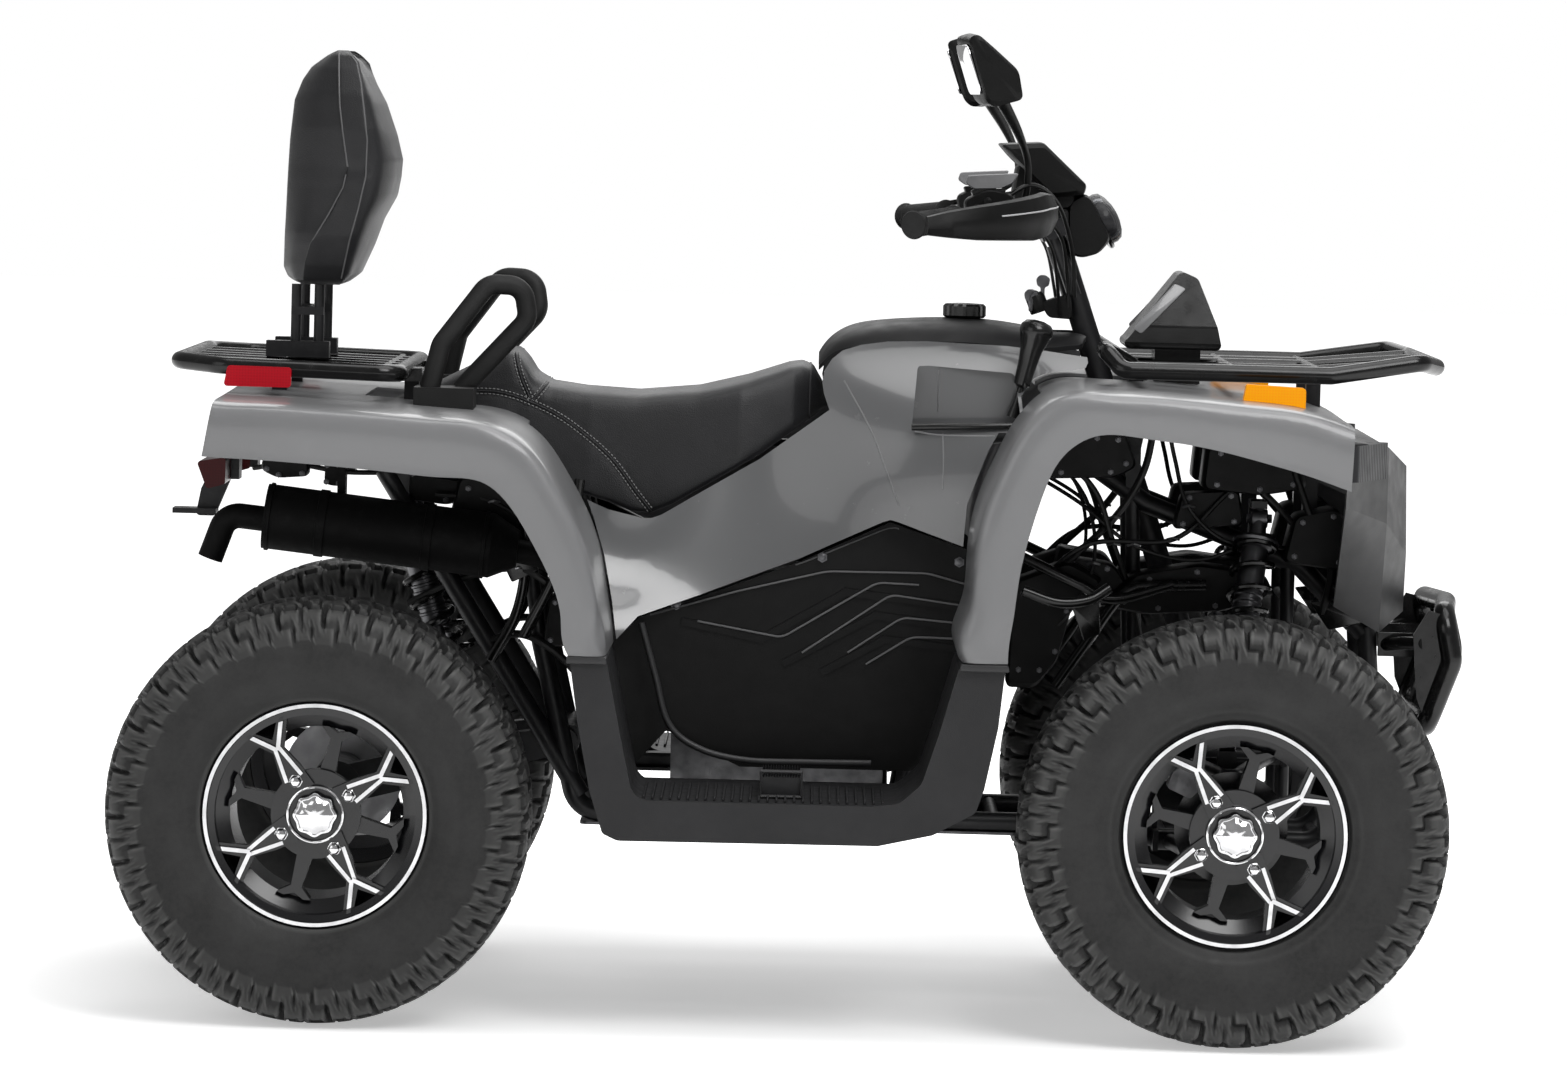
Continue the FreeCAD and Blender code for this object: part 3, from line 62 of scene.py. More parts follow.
Socket = bpy.types.NodeSocket
MM = 0.001

FRONT_AXLE: Point = (0.644, 0.465, 0.319)
REAR_AXLE: Point = (-0.706, 0.445, 0.315)


class Side(Enum):
    """The two sides of the quad bike, with the sign of Y on each."""

    RIGHT = -1
    LEFT = 1


# Shapes worked out as arrays
@dataclass
class Shape:
    """A surface as points and faces of one or more sizes."""

    points: Array
    faces: list[Array]

    def __add__(self, other: Shape) -> Shape:
        """Both shapes in one."""
        shifted = [block + len(self.points) for block in other.faces]
        return Shape(np.vstack([self.points, other.points]), self.faces + shifted)

    def scaled(self, factor: float = MM) -> Shape:
        """The shape made larger or smaller about the origin, as standard from millimetres to metres."""
        return Shape(self.points * factor, self.faces)

    def mirrored(self) -> Shape:
        """The same shape on the vehicle's other side, its faces turned round again."""
        return Shape(self.points * np.array([1.0, -1.0, 1.0]), [block[:, ::-1] for block in self.faces])

    def outward(self) -> Shape:
        """The closed shape with its faces pointing outwards, told by the sign of its volume.

        Returns:
            The shape itself, or one with every face turned round.
        """
        volume = 0.0
        middle = self.points.mean(0)
        for block in self.faces:
            p = self.points[block] - middle
            for k in range(1, block.shape[1] - 1):
                volume += np.einsum("ij,ij->", p[:, 0], np.cross(p[:, k], p[:, k + 1]))
        return self if volume > 0 else Shape(self.points, [block[:, ::-1] for block in self.faces])


def merged(shapes: list[Shape]) -> Shape:
    """Several shapes as one.

    Args:
        shapes: the shapes, at least one.

    Returns:
        One shape with all their points and faces.
    """
    whole = shapes[0]
    for shape in shapes[1:]:
        whole = whole + shape
    return whole


def both_sides(shape: Shape) -> Shape:
    """A right-hand shape with its left-hand twin."""
    return shape + shape.mirrored()


def grid_quads(rows: int, cols: int, wrap_rows: bool, wrap_cols: bool) -> Array:
    """Faces of a grid of points, joined round its ends where wrapped.

    Args:
        rows: points along the first side.
        cols: points along the second side.
        wrap_rows: whether the last row joins the first.
        wrap_cols: whether the last column joins the first.

    Returns:
        Four point numbers for each face.
    """
    r = np.arange(rows if wrap_rows else rows - 1)
    c = np.arange(cols if wrap_cols else cols - 1)
    r, c = np.meshgrid(r, c, indexing="ij")
    r2, c2 = (r + 1) % rows, (c + 1) % cols
    return np.stack([r * cols + c, r * cols + c2, r2 * cols + c2, r2 * cols + c], -1).reshape(-1, 4)


def stacked_rings(rings: Array) -> Shape:
    """A closed skin over a stack of rings, each end closed by a fan to the ring's middle.

    Args:
        rings: points as (ring, point round it, xyz).

    Returns:
        The skin, facing outwards.
    """
    count, around = rings.shape[:2]
    k = np.arange(around)
    nxt, last, end = (k + 1) % around, (count - 1) * around, count * around
    fans = [np.stack([nxt, k, np.full(around, end)], -1),
            np.stack([last + k, last + nxt, np.full(around, end + 1)], -1)]
    points = np.vstack([rings.reshape(-1, 3), rings[[0, -1]].mean(1)])
    return Shape(points, [grid_quads(count, around, False, True)] + fans).outward()


def smooth_line(points: tuple | list | Array, count: int) -> Array:
    """A Catmull-Rom curve through points: each span blends four neighbours by cubic weights.

    Args:
        points: the points that the curve passes through.
        count: how many points to give back, evenly shared among the spans.

    Returns:
        Points along the curve.
    """
    p = np.array(points, float)
    p = np.vstack([2 * p[0] - p[1], p, 2 * p[-1] - p[-2]])
    s = np.linspace(0, len(p) - 3 - 1e-9, count)
    k = s.astype(int)
    t = (s - k)[:, None]
    a, b, c, d = p[k], p[k + 1], p[k + 2], p[k + 3]
    return 0.5 * (2 * b + (c - a) * t + (2 * a - 5 * b + 4 * c - d) * t**2 + (3 * b - a - 3 * c + d) * t**3)


def unit(v: Array) -> Array:
    """Each vector divided by its length."""
    return v / np.maximum(np.linalg.norm(v, axis=-1, keepdims=True), 1e-12)


def tube(path: Array, radius: float | Array, sides: int = 12, closed: bool = False) -> Shape:
    """A round tube: a circle of the given radius carried square to a path, held level by the direction it uses least.

    Args:
        path: points along the middle.
        radius: one radius, or one for each point.
        sides: points round the circle.
        closed: whether the path joins its own start.

    Returns:
        The closed tube.
    """
    path = np.asarray(path, float)
    ahead = np.roll(path, -1, 0) - np.roll(path, 1, 0) if closed else np.gradient(path, axis=0)
    tangent = unit(ahead)
    least = np.linalg.svd(tangent.T @ tangent)[0][:, -1]
    across = unit(np.cross(tangent, least))
    up = np.cross(tangent, across)
    turn = np.linspace(0, 2 * np.pi, sides, endpoint=False)
    r = np.broadcast_to(np.asarray(radius, float), (len(path),))[:, None, None]
    ring = across[:, None] * np.cos(turn)[None, :, None] + up[:, None] * np.sin(turn)[None, :, None]
    points = path[:, None] + ring * r
    if closed:
        return Shape(points.reshape(-1, 3), [grid_quads(len(path), sides, True, True)]).outward()
    return stacked_rings(points)


def axis_frame(axis: Point | Array) -> tuple[Array, Array, Array]:
    """Three square directions, the last along an axis.

    Args:
        axis: a direction of any length.

    Returns:
        Two directions across the axis, and the axis at length one.
    """
    z = unit(np.array(axis, float))
    helper = np.array([0.0, 0.0, 1.0]) if abs(z[2]) < 0.9 else np.array([1.0, 0.0, 0.0])
    x = unit(np.cross(helper, z))
    return x, np.cross(z, x), z


def turned(profile: list | tuple, origin: Point | Array, axis: Point | Array, steps: int = 32,
           lobes: float = 0.0, lobe_count: int = 0) -> Shape:
    """A turned solid: a profile of (radius, height) carried round an axis, its two ends closed at the middle.

    Args:
        profile: radius and height pairs, from one end to the other.
        origin: where height zero lies.
        axis: the direction of height.
        steps: points round the axis.
        lobes: how far the radius swells, as a share, at each lobe.
        lobe_count: lobes round the axis.

    Returns:
        The closed solid.
    """
    x, y, z = axis_frame(axis)
    turn = np.linspace(0, 2 * np.pi, steps, endpoint=False)
    swell = 1 + lobes * np.cos(lobe_count * turn)
    p = np.array([pair for pair in profile if pair[0] > 1e-9] if profile[0][0] < 1e-9 else profile, float)
    ring = (np.cos(turn) * swell)[:, None] * x + (np.sin(turn) * swell)[:, None] * y
    return stacked_rings(np.array(origin) + p[:, 0][:, None, None] * ring[None] + p[:, 1][:, None, None] * z)


def plate(outline: tuple | list | Array, to_space: Array, depth: float, bevel: float) -> Shape:
    """A flat plate with softened edges: the outline, drawn in by the bevel at each face.

    Args:
        outline: points in the plate's plane.
        to_space: a 4 by 3 array: the first direction, the second, the direction of depth and the origin.
        depth: the plate's thickness.
        bevel: the width of the softened edge.

    Returns:
        The closed plate.
    """
    p = np.array(outline, float)
    ahead, behind = unit(np.roll(p, -1, 0) - p), unit(p - np.roll(p, 1, 0))
    inward = unit(np.stack([-(ahead + behind)[:, 1], (ahead + behind)[:, 0]], -1))
    inward *= np.sign(np.sum(p[:, 0] * np.roll(p[:, 1], -1) - p[:, 1] * np.roll(p[:, 0], -1)))
    steps = ((0.0, bevel), (bevel * 0.3, bevel * 0.3), (bevel, 0.0), (depth - bevel, 0.0),
             (depth - bevel * 0.3, bevel * 0.3), (depth, bevel))
    flat = [(p + inward * inset, height) for height, inset in steps]
    points = np.vstack([q[:, :1] * to_space[0] + q[:, 1:] * to_space[1] + h * to_space[2] + to_space[3]
                        for q, h in flat])
    ends = [np.arange(len(p))[None, ::-1], np.arange(len(p))[None] + 5 * len(p)]
    return Shape(points, [grid_quads(6, len(p), False, True)] + ends).outward()


def side_plane(y: float) -> Array:
    """The plane of the side view at a distance y, with depth running out to the right."""
    return np.array([[1, 0, 0], [0, 0, 1], [0, -1, 0], [0, y, 0]], float)


def scattered(template: Shape, places: Array, first: Array, second: Array, third: Array) -> Shape:
    """Many copies of one small shape, each put at a place and turned to three directions there.

    Args:
        template: the shape about the origin.
        places: where each copy stands.
        first: where each copy's X points.
        second: where each copy's Y points.
        third: where each copy's Z points.

    Returns:
        All the copies.
    """
    basis = np.stack([first, second, third], 1)
    points = np.einsum("pi,nij->npj", template.points, basis) + places[:, None]
    shift = np.arange(len(places))[:, None, None] * len(template.points)
    faces = [(block[None] + shift).reshape(-1, block.shape[1]) for block in template.faces]
    return Shape(points.reshape(-1, 3), faces)


def stitch_row(path: Array, outward: Array, pitch: float = 0.0062, length: float = 0.0042,
               thick: float = 0.0009) -> Shape:
    """Thread along a seam: short lozenges at even steps, each lying along the path.

    Args:
        path: points along the seam.
        outward: the surface's normal at each point.
        pitch: the distance from stitch to stitch.
        length: each stitch's length.
        thick: each stitch's half thickness.

    Returns:
        All the stitches.
    """
    steps = np.concatenate([[0], np.cumsum(np.linalg.norm(np.diff(path, axis=0), axis=1))])
    at = np.arange(pitch, steps[-1] - pitch / 2, pitch)
    place = np.stack([np.interp(at, steps, path[:, k]) for k in range(3)], -1)
    normal = unit(np.stack([np.interp(at, steps, outward[:, k]) for k in range(3)], -1))
    along = np.stack([np.interp(at, steps, np.gradient(path[:, k], steps)) for k in range(3)], -1)
    along = unit(along - normal * np.sum(along * normal, 1, keepdims=True))
    turn = np.linspace(0, 2 * np.pi, 6, endpoint=False)
    x = np.array([-1, -0.6, 0.6, 1]) * length / 2
    r = np.array([0.35, 1, 1, 0.35]) * thick
    ring = np.stack([np.repeat(x[:, None], 6, 1), r[:, None] * np.cos(turn), r[:, None] * np.sin(turn)], -1)
    return scattered(stacked_rings(ring), place, along, np.cross(normal, along), normal)


def hex_bolts(places: list | Array, axis: Point, radius: float, height: float) -> Shape:
    """Flanged hexagon bolt heads standing along one axis.

    Args:
        places: the middle of each head's foot.
        axis: the way that the heads stand.
        radius: the hexagon's radius.
        height: the head's height.

    Returns:
        All the heads.
    """
    x, y, z = axis_frame(axis)
    flange = radius * 1.35
    head = turned([(flange, 0), (flange, height * 0.25), (radius, height * 0.3), (radius, height * 0.85),
                   (radius * 0.8, height)], (0, 0, 0), (0, 0, 1), 6)
    n = len(places)
    return scattered(head, np.array(places, float), np.tile(x, (n, 1)), np.tile(y, (n, 1)), np.tile(z, (n, 1)))


def make_piece(name: str, shape: Shape, material: bpy.types.Material, body: str,
               replaced: tuple[str, ...] = (), sharp_deg: float = 38.0) -> bpy.types.Object:
    """Puts a shape into the scene as a piece that rides on a body.

    Args:
        name: the piece's name.
        shape: its surface.
        material: its finish.
        body: the body that it rides on.
        replaced: the CAD nodes that it stands for.
        sharp_deg: the angle over which an edge stays sharp.

    Returns:
        The new object.
    """
    mesh = bpy.data.meshes.new(name)
    faces = [row for block in shape.faces for row in block.tolist()]
    mesh.from_pydata(shape.points.tolist(), [], faces)
    mesh.polygons.foreach_set("use_smooth", np.ones(len(mesh.polygons), bool))
    mesh.set_sharp_from_angle(angle=math.radians(sharp_deg))
    mesh.materials.append(material)
    piece = bpy.data.objects.new(name, mesh)
    bpy.context.scene.collection.objects.link(piece)
    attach(piece, body)
    if replaced:
        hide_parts(*replaced)
    log.info("%s: %d faces on %s", name, len(faces), body)
    return piece


# Effects shared by the finishes, each one node group
class Effects:
    """Node groups that more than one finish uses."""

    def __init__(self) -> None:
        """Builds every group once."""
        self.drift = self.noise_mask("tone_drift", 2.5, 0.5)
        self.wear = self.noise_mask("rubbed_patches", 6.0, 0.65)
        self.grain = self.height("pebble_grain", "ShaderNodeTexVoronoi", "Distance")
        self.ripple = self.height("spray_ripple", "ShaderNodeTexNoise", "Fac")

    @staticmethod
    def shell(name: str, inputs: dict[str, float], output: str) -> tuple:
        """A group with a place, named numbers and one output, and its two end nodes.

        Args:
            name: the group's name.
            inputs: each number's name and usual value.
            output: the output's name.

        Returns:
            The group, its input node and its output node.
        """
        group = bpy.data.node_groups.new(name, "ShaderNodeTree")
        group.interface.new_socket("Vector", in_out="INPUT", socket_type="NodeSocketVector")
        for label, value in inputs.items():
            made = group.interface.new_socket(label, in_out="INPUT", socket_type="NodeSocketFloat")
            made.default_value = value
        group.interface.new_socket(output, in_out="OUTPUT", socket_type="NodeSocketFloat")
        return group, group.nodes.new("NodeGroupInput"), group.nodes.new("NodeGroupOutput")

    def noise_mask(self, name: str, detail: float, rough: float) -> bpy.types.NodeTree:
        """A soft mask: noise cut between a low and a high level.

        Args:
            name: the group's name.
            detail: how many finer layers the noise has.
            rough: how strong the finer layers are.

        Returns:
            The group.
        """
        group, start, end = self.shell(name, {"Scale": 10.0, "Low": 0.4, "High": 0.7}, "Mask")
        noise = group.nodes.new("ShaderNodeTexNoise")
        noise.inputs["Detail"].default_value, noise.inputs["Roughness"].default_value = detail, rough
        cut = group.nodes.new("ShaderNodeMapRange")
        for source, target in ((start.outputs["Vector"], noise.inputs["Vector"]),
                               (start.outputs["Scale"], noise.inputs["Scale"]),
                               (noise.outputs["Fac"], cut.inputs["Value"]),
                               (start.outputs["Low"], cut.inputs["From Min"]),
                               (start.outputs["High"], cut.inputs["From Max"]),
                               (cut.outputs["Result"], end.inputs["Mask"])):
            group.links.new(source, target)
        return group

    def height(self, name: str, kind: str, result: str) -> bpy.types.NodeTree:
        """A height from one texture, for bumps: pebbles from cells, unevenness from noise.

        Args:
            name: the group's name.
            kind: the texture node.
            result: the texture's output to use.

        Returns:
            The group.
        """
        group, start, end = self.shell(name, {"Scale": 400.0}, "Height")
        texture = group.nodes.new(kind)
        for label in ("Vector", "Scale"):
            group.links.new(start.outputs[label], texture.inputs[label])
        group.links.new(texture.outputs[result], end.inputs["Height"])
        return group


class Graph:
    """The node graph of one material, built call by call."""

    def __init__(self, name: str) -> None:
        """Starts a material with its shader and object coordinates.

        Args:
            name: the material's name.
        """
        self.material = bpy.data.materials.new(name)
        self.material.use_nodes = True
        self.tree = self.material.node_tree
        self.shader = self.tree.nodes["Principled BSDF"]
        self.place = self.node("ShaderNodeTexCoord").outputs["Object"]
        self.normal: Socket | None = None

    def node(self, kind: str, **settings: object) -> bpy.types.Node:
        """A new node with its settings.

        Args:
            kind: the node's type.
            settings: its options by name.

        Returns:
            The node.
        """
        made = self.tree.nodes.new(kind)
        for key, value in settings.items():
            setattr(made, key, value)
        return made

    def feed(self, socket: Socket, value: object) -> None:
        """Links or sets a socket.

        Args:
            socket: the input to fill.
            value: another node's output, a colour, a number or nothing.
        """
        if isinstance(value, bpy.types.NodeSocket):
            self.tree.links.new(value, socket)
        elif isinstance(value, tuple) and len(value) == 3 and socket.type == "RGBA":
            socket.default_value = (*value, 1.0)
        elif value is not None:
            socket.default_value = value

    def effect(self, group: bpy.types.NodeTree, **values: object) -> Socket:
        """Places a shared effect with its own values and gives its output.

        Args:
            group: the shared effect.
            values: its inputs by name.

        Returns:
            The effect's one output.
        """
        made = self.node("ShaderNodeGroup", node_tree=group)
        self.feed(made.inputs["Vector"], self.place)
        for name, value in values.items():
            self.feed(made.inputs[name], value)
        return made.outputs[0]

    def axis(self, name: str) -> Socket:
        """One coordinate of the point.

        Args:
            name: X, Y or Z.

        Returns:
            The coordinate.
        """
        made = self.node("ShaderNodeSeparateXYZ")
        self.feed(made.inputs[0], self.place)
        return made.outputs[name]

    def math(self, operation: str, a: object, b: object = None) -> Socket:
        """A sum, product or comparison of two values.

        Args:
            operation: the kind of sum.
            a: the first value.
            b: the second value, where it has one.

        Returns:
            The result.
        """
        made = self.node("ShaderNodeMath", operation=operation)
        self.feed(made.inputs[0], a)
        self.feed(made.inputs[1], b)
        return made.outputs[0]

    def span(self, value: object, low: float, high: float, to_low: float = 0.0, to_high: float = 1.0) -> Socket:
        """A value moved from one range to another.

        Args:
            value: the value.
            low: the first range's start.
            high: the first range's end.
            to_low: the second range's start.
            to_high: the second range's end.

        Returns:
            The moved value.
        """
        made = self.node("ShaderNodeMapRange")
        for name, number in (("Value", value), ("From Min", low), ("From Max", high), ("To Min", to_low),
                             ("To Max", to_high)):
            self.feed(made.inputs[name], number)
        return made.outputs["Result"]

    def mix(self, share: object, first: object, second: object) -> Socket:
        """A blend of two colours.

        Args:
            share: how much of the second colour there is.
            first: the first colour.
            second: the second colour.

        Returns:
            The blend.
        """
        made = self.node("ShaderNodeMix", data_type="RGBA")
        self.feed(made.inputs["Factor"], share)
        for name, value in (("A", first), ("B", second)):
            self.feed([s for s in made.inputs if s.name == name and s.type == "RGBA"][0], value)
        return [s for s in made.outputs if s.type == "RGBA"][0]

    def sideways(self, least: float) -> Socket:
        """One where the piece's own surface faces sideways, and zero elsewhere.

        Args:
            least: the share of the normal that has to lie along Y.

        Returns:
            One or zero.
        """
        parts = self.node("ShaderNodeSeparateXYZ")
        self.feed(parts.inputs[0], self.node("ShaderNodeTexCoord").outputs["Normal"])
        return self.math("GREATER_THAN", self.math("ABSOLUTE", parts.outputs["Y"]), least)

    def bump(self, height: object, strength: float, distance: float) -> None:
        """Adds a bump to the shader's normal.

        Args:
            height: the height over the surface.
            strength: how strongly it acts.
            distance: the bump's depth in metres.
        """
        made = self.node("ShaderNodeBump")
        for name, value in (("Height", height), ("Strength", strength), ("Distance", distance),
                            ("Normal", self.normal)):
            self.feed(made.inputs[name], value)
        self.normal = made.outputs["Normal"]
        self.feed(self.shader.inputs["Normal"], self.normal)

    def set(self, **values: object) -> None:
        """Feeds the shader's sockets by name, with underscores for spaces."""
        for name, value in values.items():
            self.feed(self.shader.inputs[name.replace("_", " ")], value)


def tinted(colour: Colour, factor: float, lift: float = 0.0) -> Colour:
    """A colour made lighter or darker."""
    return tuple(c * factor + lift for c in colour)


@dataclass(frozen=True)
class Paint:
    """Sprayed bodywork under a clear coat."""

    name: str
    colour: Colour
    rough: float
    coat: float

    def make(self, fx: Effects) -> bpy.types.Material:
        """Colour that drifts a little, a faint ripple, small scuffs that dull the gloss.

        Args:
            fx: the effects that finishes share.

        Returns:
            The finished material.
        """
        g = Graph(self.name)
        drift = g.effect(fx.drift, Scale=2.6, Low=0.32, High=0.68)
        scuff = g.effect(fx.wear, Scale=34.0, Low=0.66, High=0.8)
        tone = g.mix(drift, tinted(self.colour, 0.93), tinted(self.colour, 1.06))
        g.set(Base_Color=g.mix(g.math("MULTIPLY", scuff, 0.2), tone, tinted(self.colour, 1.3)))
        g.set(Roughness=g.span(scuff, 0.0, 1.0, self.rough, self.rough + 0.16))
        g.set(Coat_Weight=self.coat, Coat_Roughness=0.07)
        g.bump(g.effect(fx.ripple, Scale=240.0), 0.035, 0.0006)
        return g.material


@dataclass(frozen=True)
class Coated:
    """Powder-coated steel tube and bracket."""

    name: str
    colour: Colour
    rough: float
    shine: float = 0.35
    film: float = 0.14

    def make(self, fx: Effects) -> bpy.types.Material:
        """A pebbled film, lighter where it is rubbed.

        Args:
            fx: the effects that finishes share.

        Returns:
            The finished material.
        """
        g = Graph(self.name)
        rub = g.effect(fx.wear, Scale=38.0, Low=0.56, High=0.74)
        g.set(Base_Color=g.mix(rub, self.colour, tinted(self.colour, 1.9, 0.003)), Specular_IOR_Level=self.shine)
        g.set(Roughness=g.span(g.effect(fx.drift, Scale=60.0, Low=0.3, High=0.7), 0, 1, self.rough - 0.06,
                               self.rough + 0.08))
        g.bump(g.effect(fx.ripple, Scale=1000.0), self.film, 0.0004)
        return g.material


@dataclass(frozen=True)
class Moulded:
    """Moulded plastic or rubber with a pressed grain."""

    name: str
    colour: Colour
    rough: float
    grain: float
    depth: float
    dust: float = 0.45
    shine: float = 0.3

    def make(self, fx: Effects) -> bpy.types.Material:
        """A grain from the mould and dust that lightens it in patches.

        Args:
            fx: the effects that finishes share.

        Returns:
            The finished material.
        """
        g = Graph(self.name)
        dust = g.math("MULTIPLY", g.effect(fx.wear, Scale=9.0, Low=0.45, High=0.8), self.dust)
        g.set(Base_Color=g.mix(dust, self.colour, tinted(self.colour, 1.8, 0.003)), Specular_IOR_Level=self.shine)
        g.set(Roughness=g.span(g.effect(fx.drift, Scale=35.0, Low=0.3, High=0.7), 0, 1, self.rough - 0.05,
                               self.rough + 0.07))
        g.bump(g.effect(fx.grain, Scale=self.grain), self.depth, 0.0003)
        return g.material


@dataclass(frozen=True)
class Vinyl:
    """Seat vinyl with a leather grain and a soft sheen."""

    name: str
    colour: Colour

    def make(self, fx: Effects) -> bpy.types.Material:
        """Pebbles, broad soft creases and a tone that wears lighter where riders sit.

        Args:
            fx: the effects that finishes share.

        Returns:
            The finished material.
        """
        g = Graph(self.name)
        rub = g.effect(fx.wear, Scale=11.0, Low=0.42, High=0.74)
        g.set(Base_Color=g.mix(rub, self.colour, tinted(self.colour, 1.6)))
        g.set(Roughness=g.span(rub, 0.0, 1.0, 0.5, 0.4), Sheen_Weight=0.06, Specular_IOR_Level=0.35)
        g.bump(g.effect(fx.grain, Scale=560.0), 0.5, 0.0006)
        g.bump(g.effect(fx.ripple, Scale=26.0), 0.14, 0.003)
        return g.material


@dataclass(frozen=True)
class TyreRubber:
    """Tyre rubber, dull and dusty."""

    name: str = "tyre_rubber"
    clean: Colour = (0.012, 0.012, 0.012)
    bloomed: Colour = (0.026, 0.026, 0.026)
    dust: Colour = (0.05, 0.05, 0.049)
    # The pale colour of the painted highlight along the blocks' edges, set between the two Pointiness levels below.
    edge: Colour = (0.095, 0.095, 0.093)
    highlight_starts: float = 0.505
    highlight_full: float = 0.56

    def make(self, fx: Effects) -> bpy.types.Material:
        """A dusty bloom over the blocks, a painted highlight along their edges, and a fine moulded surface.

        Args:
            fx: the effects that finishes share.

        Returns:
            The finished material.
        """
        g = Graph(self.name)
        # Painted highlight: convex block edges, found by Pointiness, turn paler.
        edge_highlight = g.span(g.node("ShaderNodeNewGeometry").outputs["Pointiness"], self.highlight_starts, self.highlight_full)
        bloom = g.effect(fx.wear, Scale=13.0, Low=0.38, High=0.72)
        fine = g.effect(fx.wear, Scale=120.0, Low=0.4, High=0.7)
        dusty = g.mix(g.math("MULTIPLY", fine, 0.35), g.mix(bloom, self.clean, self.bloomed), self.dust)
        g.set(Base_Color=g.mix(edge_highlight, dusty, self.edge), Specular_IOR_Level=0.3)
        g.set(Roughness=g.span(fine, 0.0, 1.0, 0.52, 0.76))
        g.bump(g.effect(fx.ripple, Scale=420.0), 0.25, 0.0006)
        return g.material


@dataclass(frozen=True)
class Metal:
    """Bare or plated metal."""

    name: str
    colour: Colour
    rough: float
    grain: float = 600.0
    depth: float = 0.05

    def make(self, fx: Effects) -> bpy.types.Material:
        """Tarnish in patches and a fine tooled surface.

        Args:
            fx: the effects that finishes share.

        Returns:
            The finished material.
        """
        g = Graph(self.name)
        stain = g.effect(fx.drift, Scale=45.0, Low=0.3, High=0.7)
        g.set(Base_Color=g.mix(stain, tinted(self.colour, 0.8), self.colour), Metallic=1.0)
        g.set(Roughness=g.span(stain, 0.0, 1.0, self.rough * 1.35, self.rough * 0.8))
        g.bump(g.effect(fx.ripple, Scale=self.grain), self.depth, 0.0004)
        return g.material


@dataclass(frozen=True)
class CastWheel:
    """Gloss black wheels whose outermost faces are machined bright."""

    name: str = "cast_wheel"
    front_cut: float = FRONT_AXLE[1] + 0.070
    rear_cut: float = REAR_AXLE[1] + 0.094
    flat_from: float = 0.85
    gap_inside: float = 0.146
    gap_outside: float = 0.1588
    gloss: Colour = (0.006, 0.006, 0.007)
    tarnished: Colour = (0.58, 0.58, 0.59)
    machined: Colour = (0.8, 0.8, 0.81)

    def make(self, fx: Effects) -> bpy.types.Material:
        """Bright where a face looks sideways and lies beyond the machining depth.

        Args:
            fx: the effects that finishes share.

        Returns:
            The finished material.
        """
        g = Graph(self.name)
        side = g.math("ABSOLUTE", g.axis("Y"))
        ahead = g.math("GREATER_THAN", g.axis("X"), 0.0)
        front = g.math("MULTIPLY", ahead, g.math("GREATER_THAN", side, self.front_cut))
        rear = g.math("MULTIPLY", g.math("SUBTRACT", 1.0, ahead), g.math("GREATER_THAN", side, self.rear_cut))
        flat = g.sideways(self.flat_from)
        flatten = g.node("ShaderNodeVectorMath", operation="MULTIPLY")
        g.feed(flatten.inputs[0], g.place)
        flatten.inputs[1].default_value = (1.0, 0.0, 1.0)
        reaches = []
        for axle in (FRONT_AXLE, REAR_AXLE):
            reach = g.node("ShaderNodeVectorMath", operation="DISTANCE")
            g.feed(reach.inputs[0], flatten.outputs[0])
            reach.inputs[1].default_value = (axle[0], 0.0, axle[2])
            reaches.append(reach.outputs["Value"])
        radius = g.math("MINIMUM", *reaches)
        gap = g.math("MULTIPLY", g.math("GREATER_THAN", radius, self.gap_inside),
                     g.math("LESS_THAN", radius, self.gap_outside))
        cut = g.math("MULTIPLY", g.math("ADD", front, rear), flat)
        bright = g.math("MULTIPLY", cut, g.math("SUBTRACT", 1.0, gap))
        metal = g.mix(g.effect(fx.drift, Scale=50.0, Low=0.3, High=0.7), self.tarnished, self.machined)
        g.set(Base_Color=g.mix(bright, self.gloss, metal))
        g.set(Metallic=bright, Roughness=g.span(bright, 0.0, 1.0, 0.22, 0.3))
        g.bump(g.effect(fx.ripple, Scale=300.0), 0.06, 0.0003)
        return g.material


@dataclass(frozen=True)
class Reflector:
    """A reflector's moulded prisms."""

    name: str
    colour: Colour
    painted_glow: float
    prisms: float = 230.0

    def make(self, fx: Effects) -> bpy.types.Material:
        """Even rows of small prisms that brighten and darken the colour, and a painted glow from emission, though a
        reflector is no lamp.

        Args:
            fx: the effects that finishes share.

        Returns:
            The finished material.
        """
        g = Graph(self.name)
        cells = g.node("ShaderNodeTexVoronoi")
        for name, value in (("Vector", g.place), ("Scale", self.prisms), ("Randomness", 0.0)):
            g.feed(cells.inputs[name], value)
        tone = g.mix(g.span(cells.outputs["Distance"], 0.1, 0.6), tinted(self.colour, 0.8), self.colour)
        # Emission gives a painted glow: light that the reflector would only bounce back.
        g.set(Base_Color=tone, Emission_Color=tone, Emission_Strength=self.painted_glow, Roughness=0.3)
        g.set(Specular_IOR_Level=0.15, Coat_Weight=0.08)
        g.bump(cells.outputs["Distance"], 0.15, 0.0006)
        return g.material


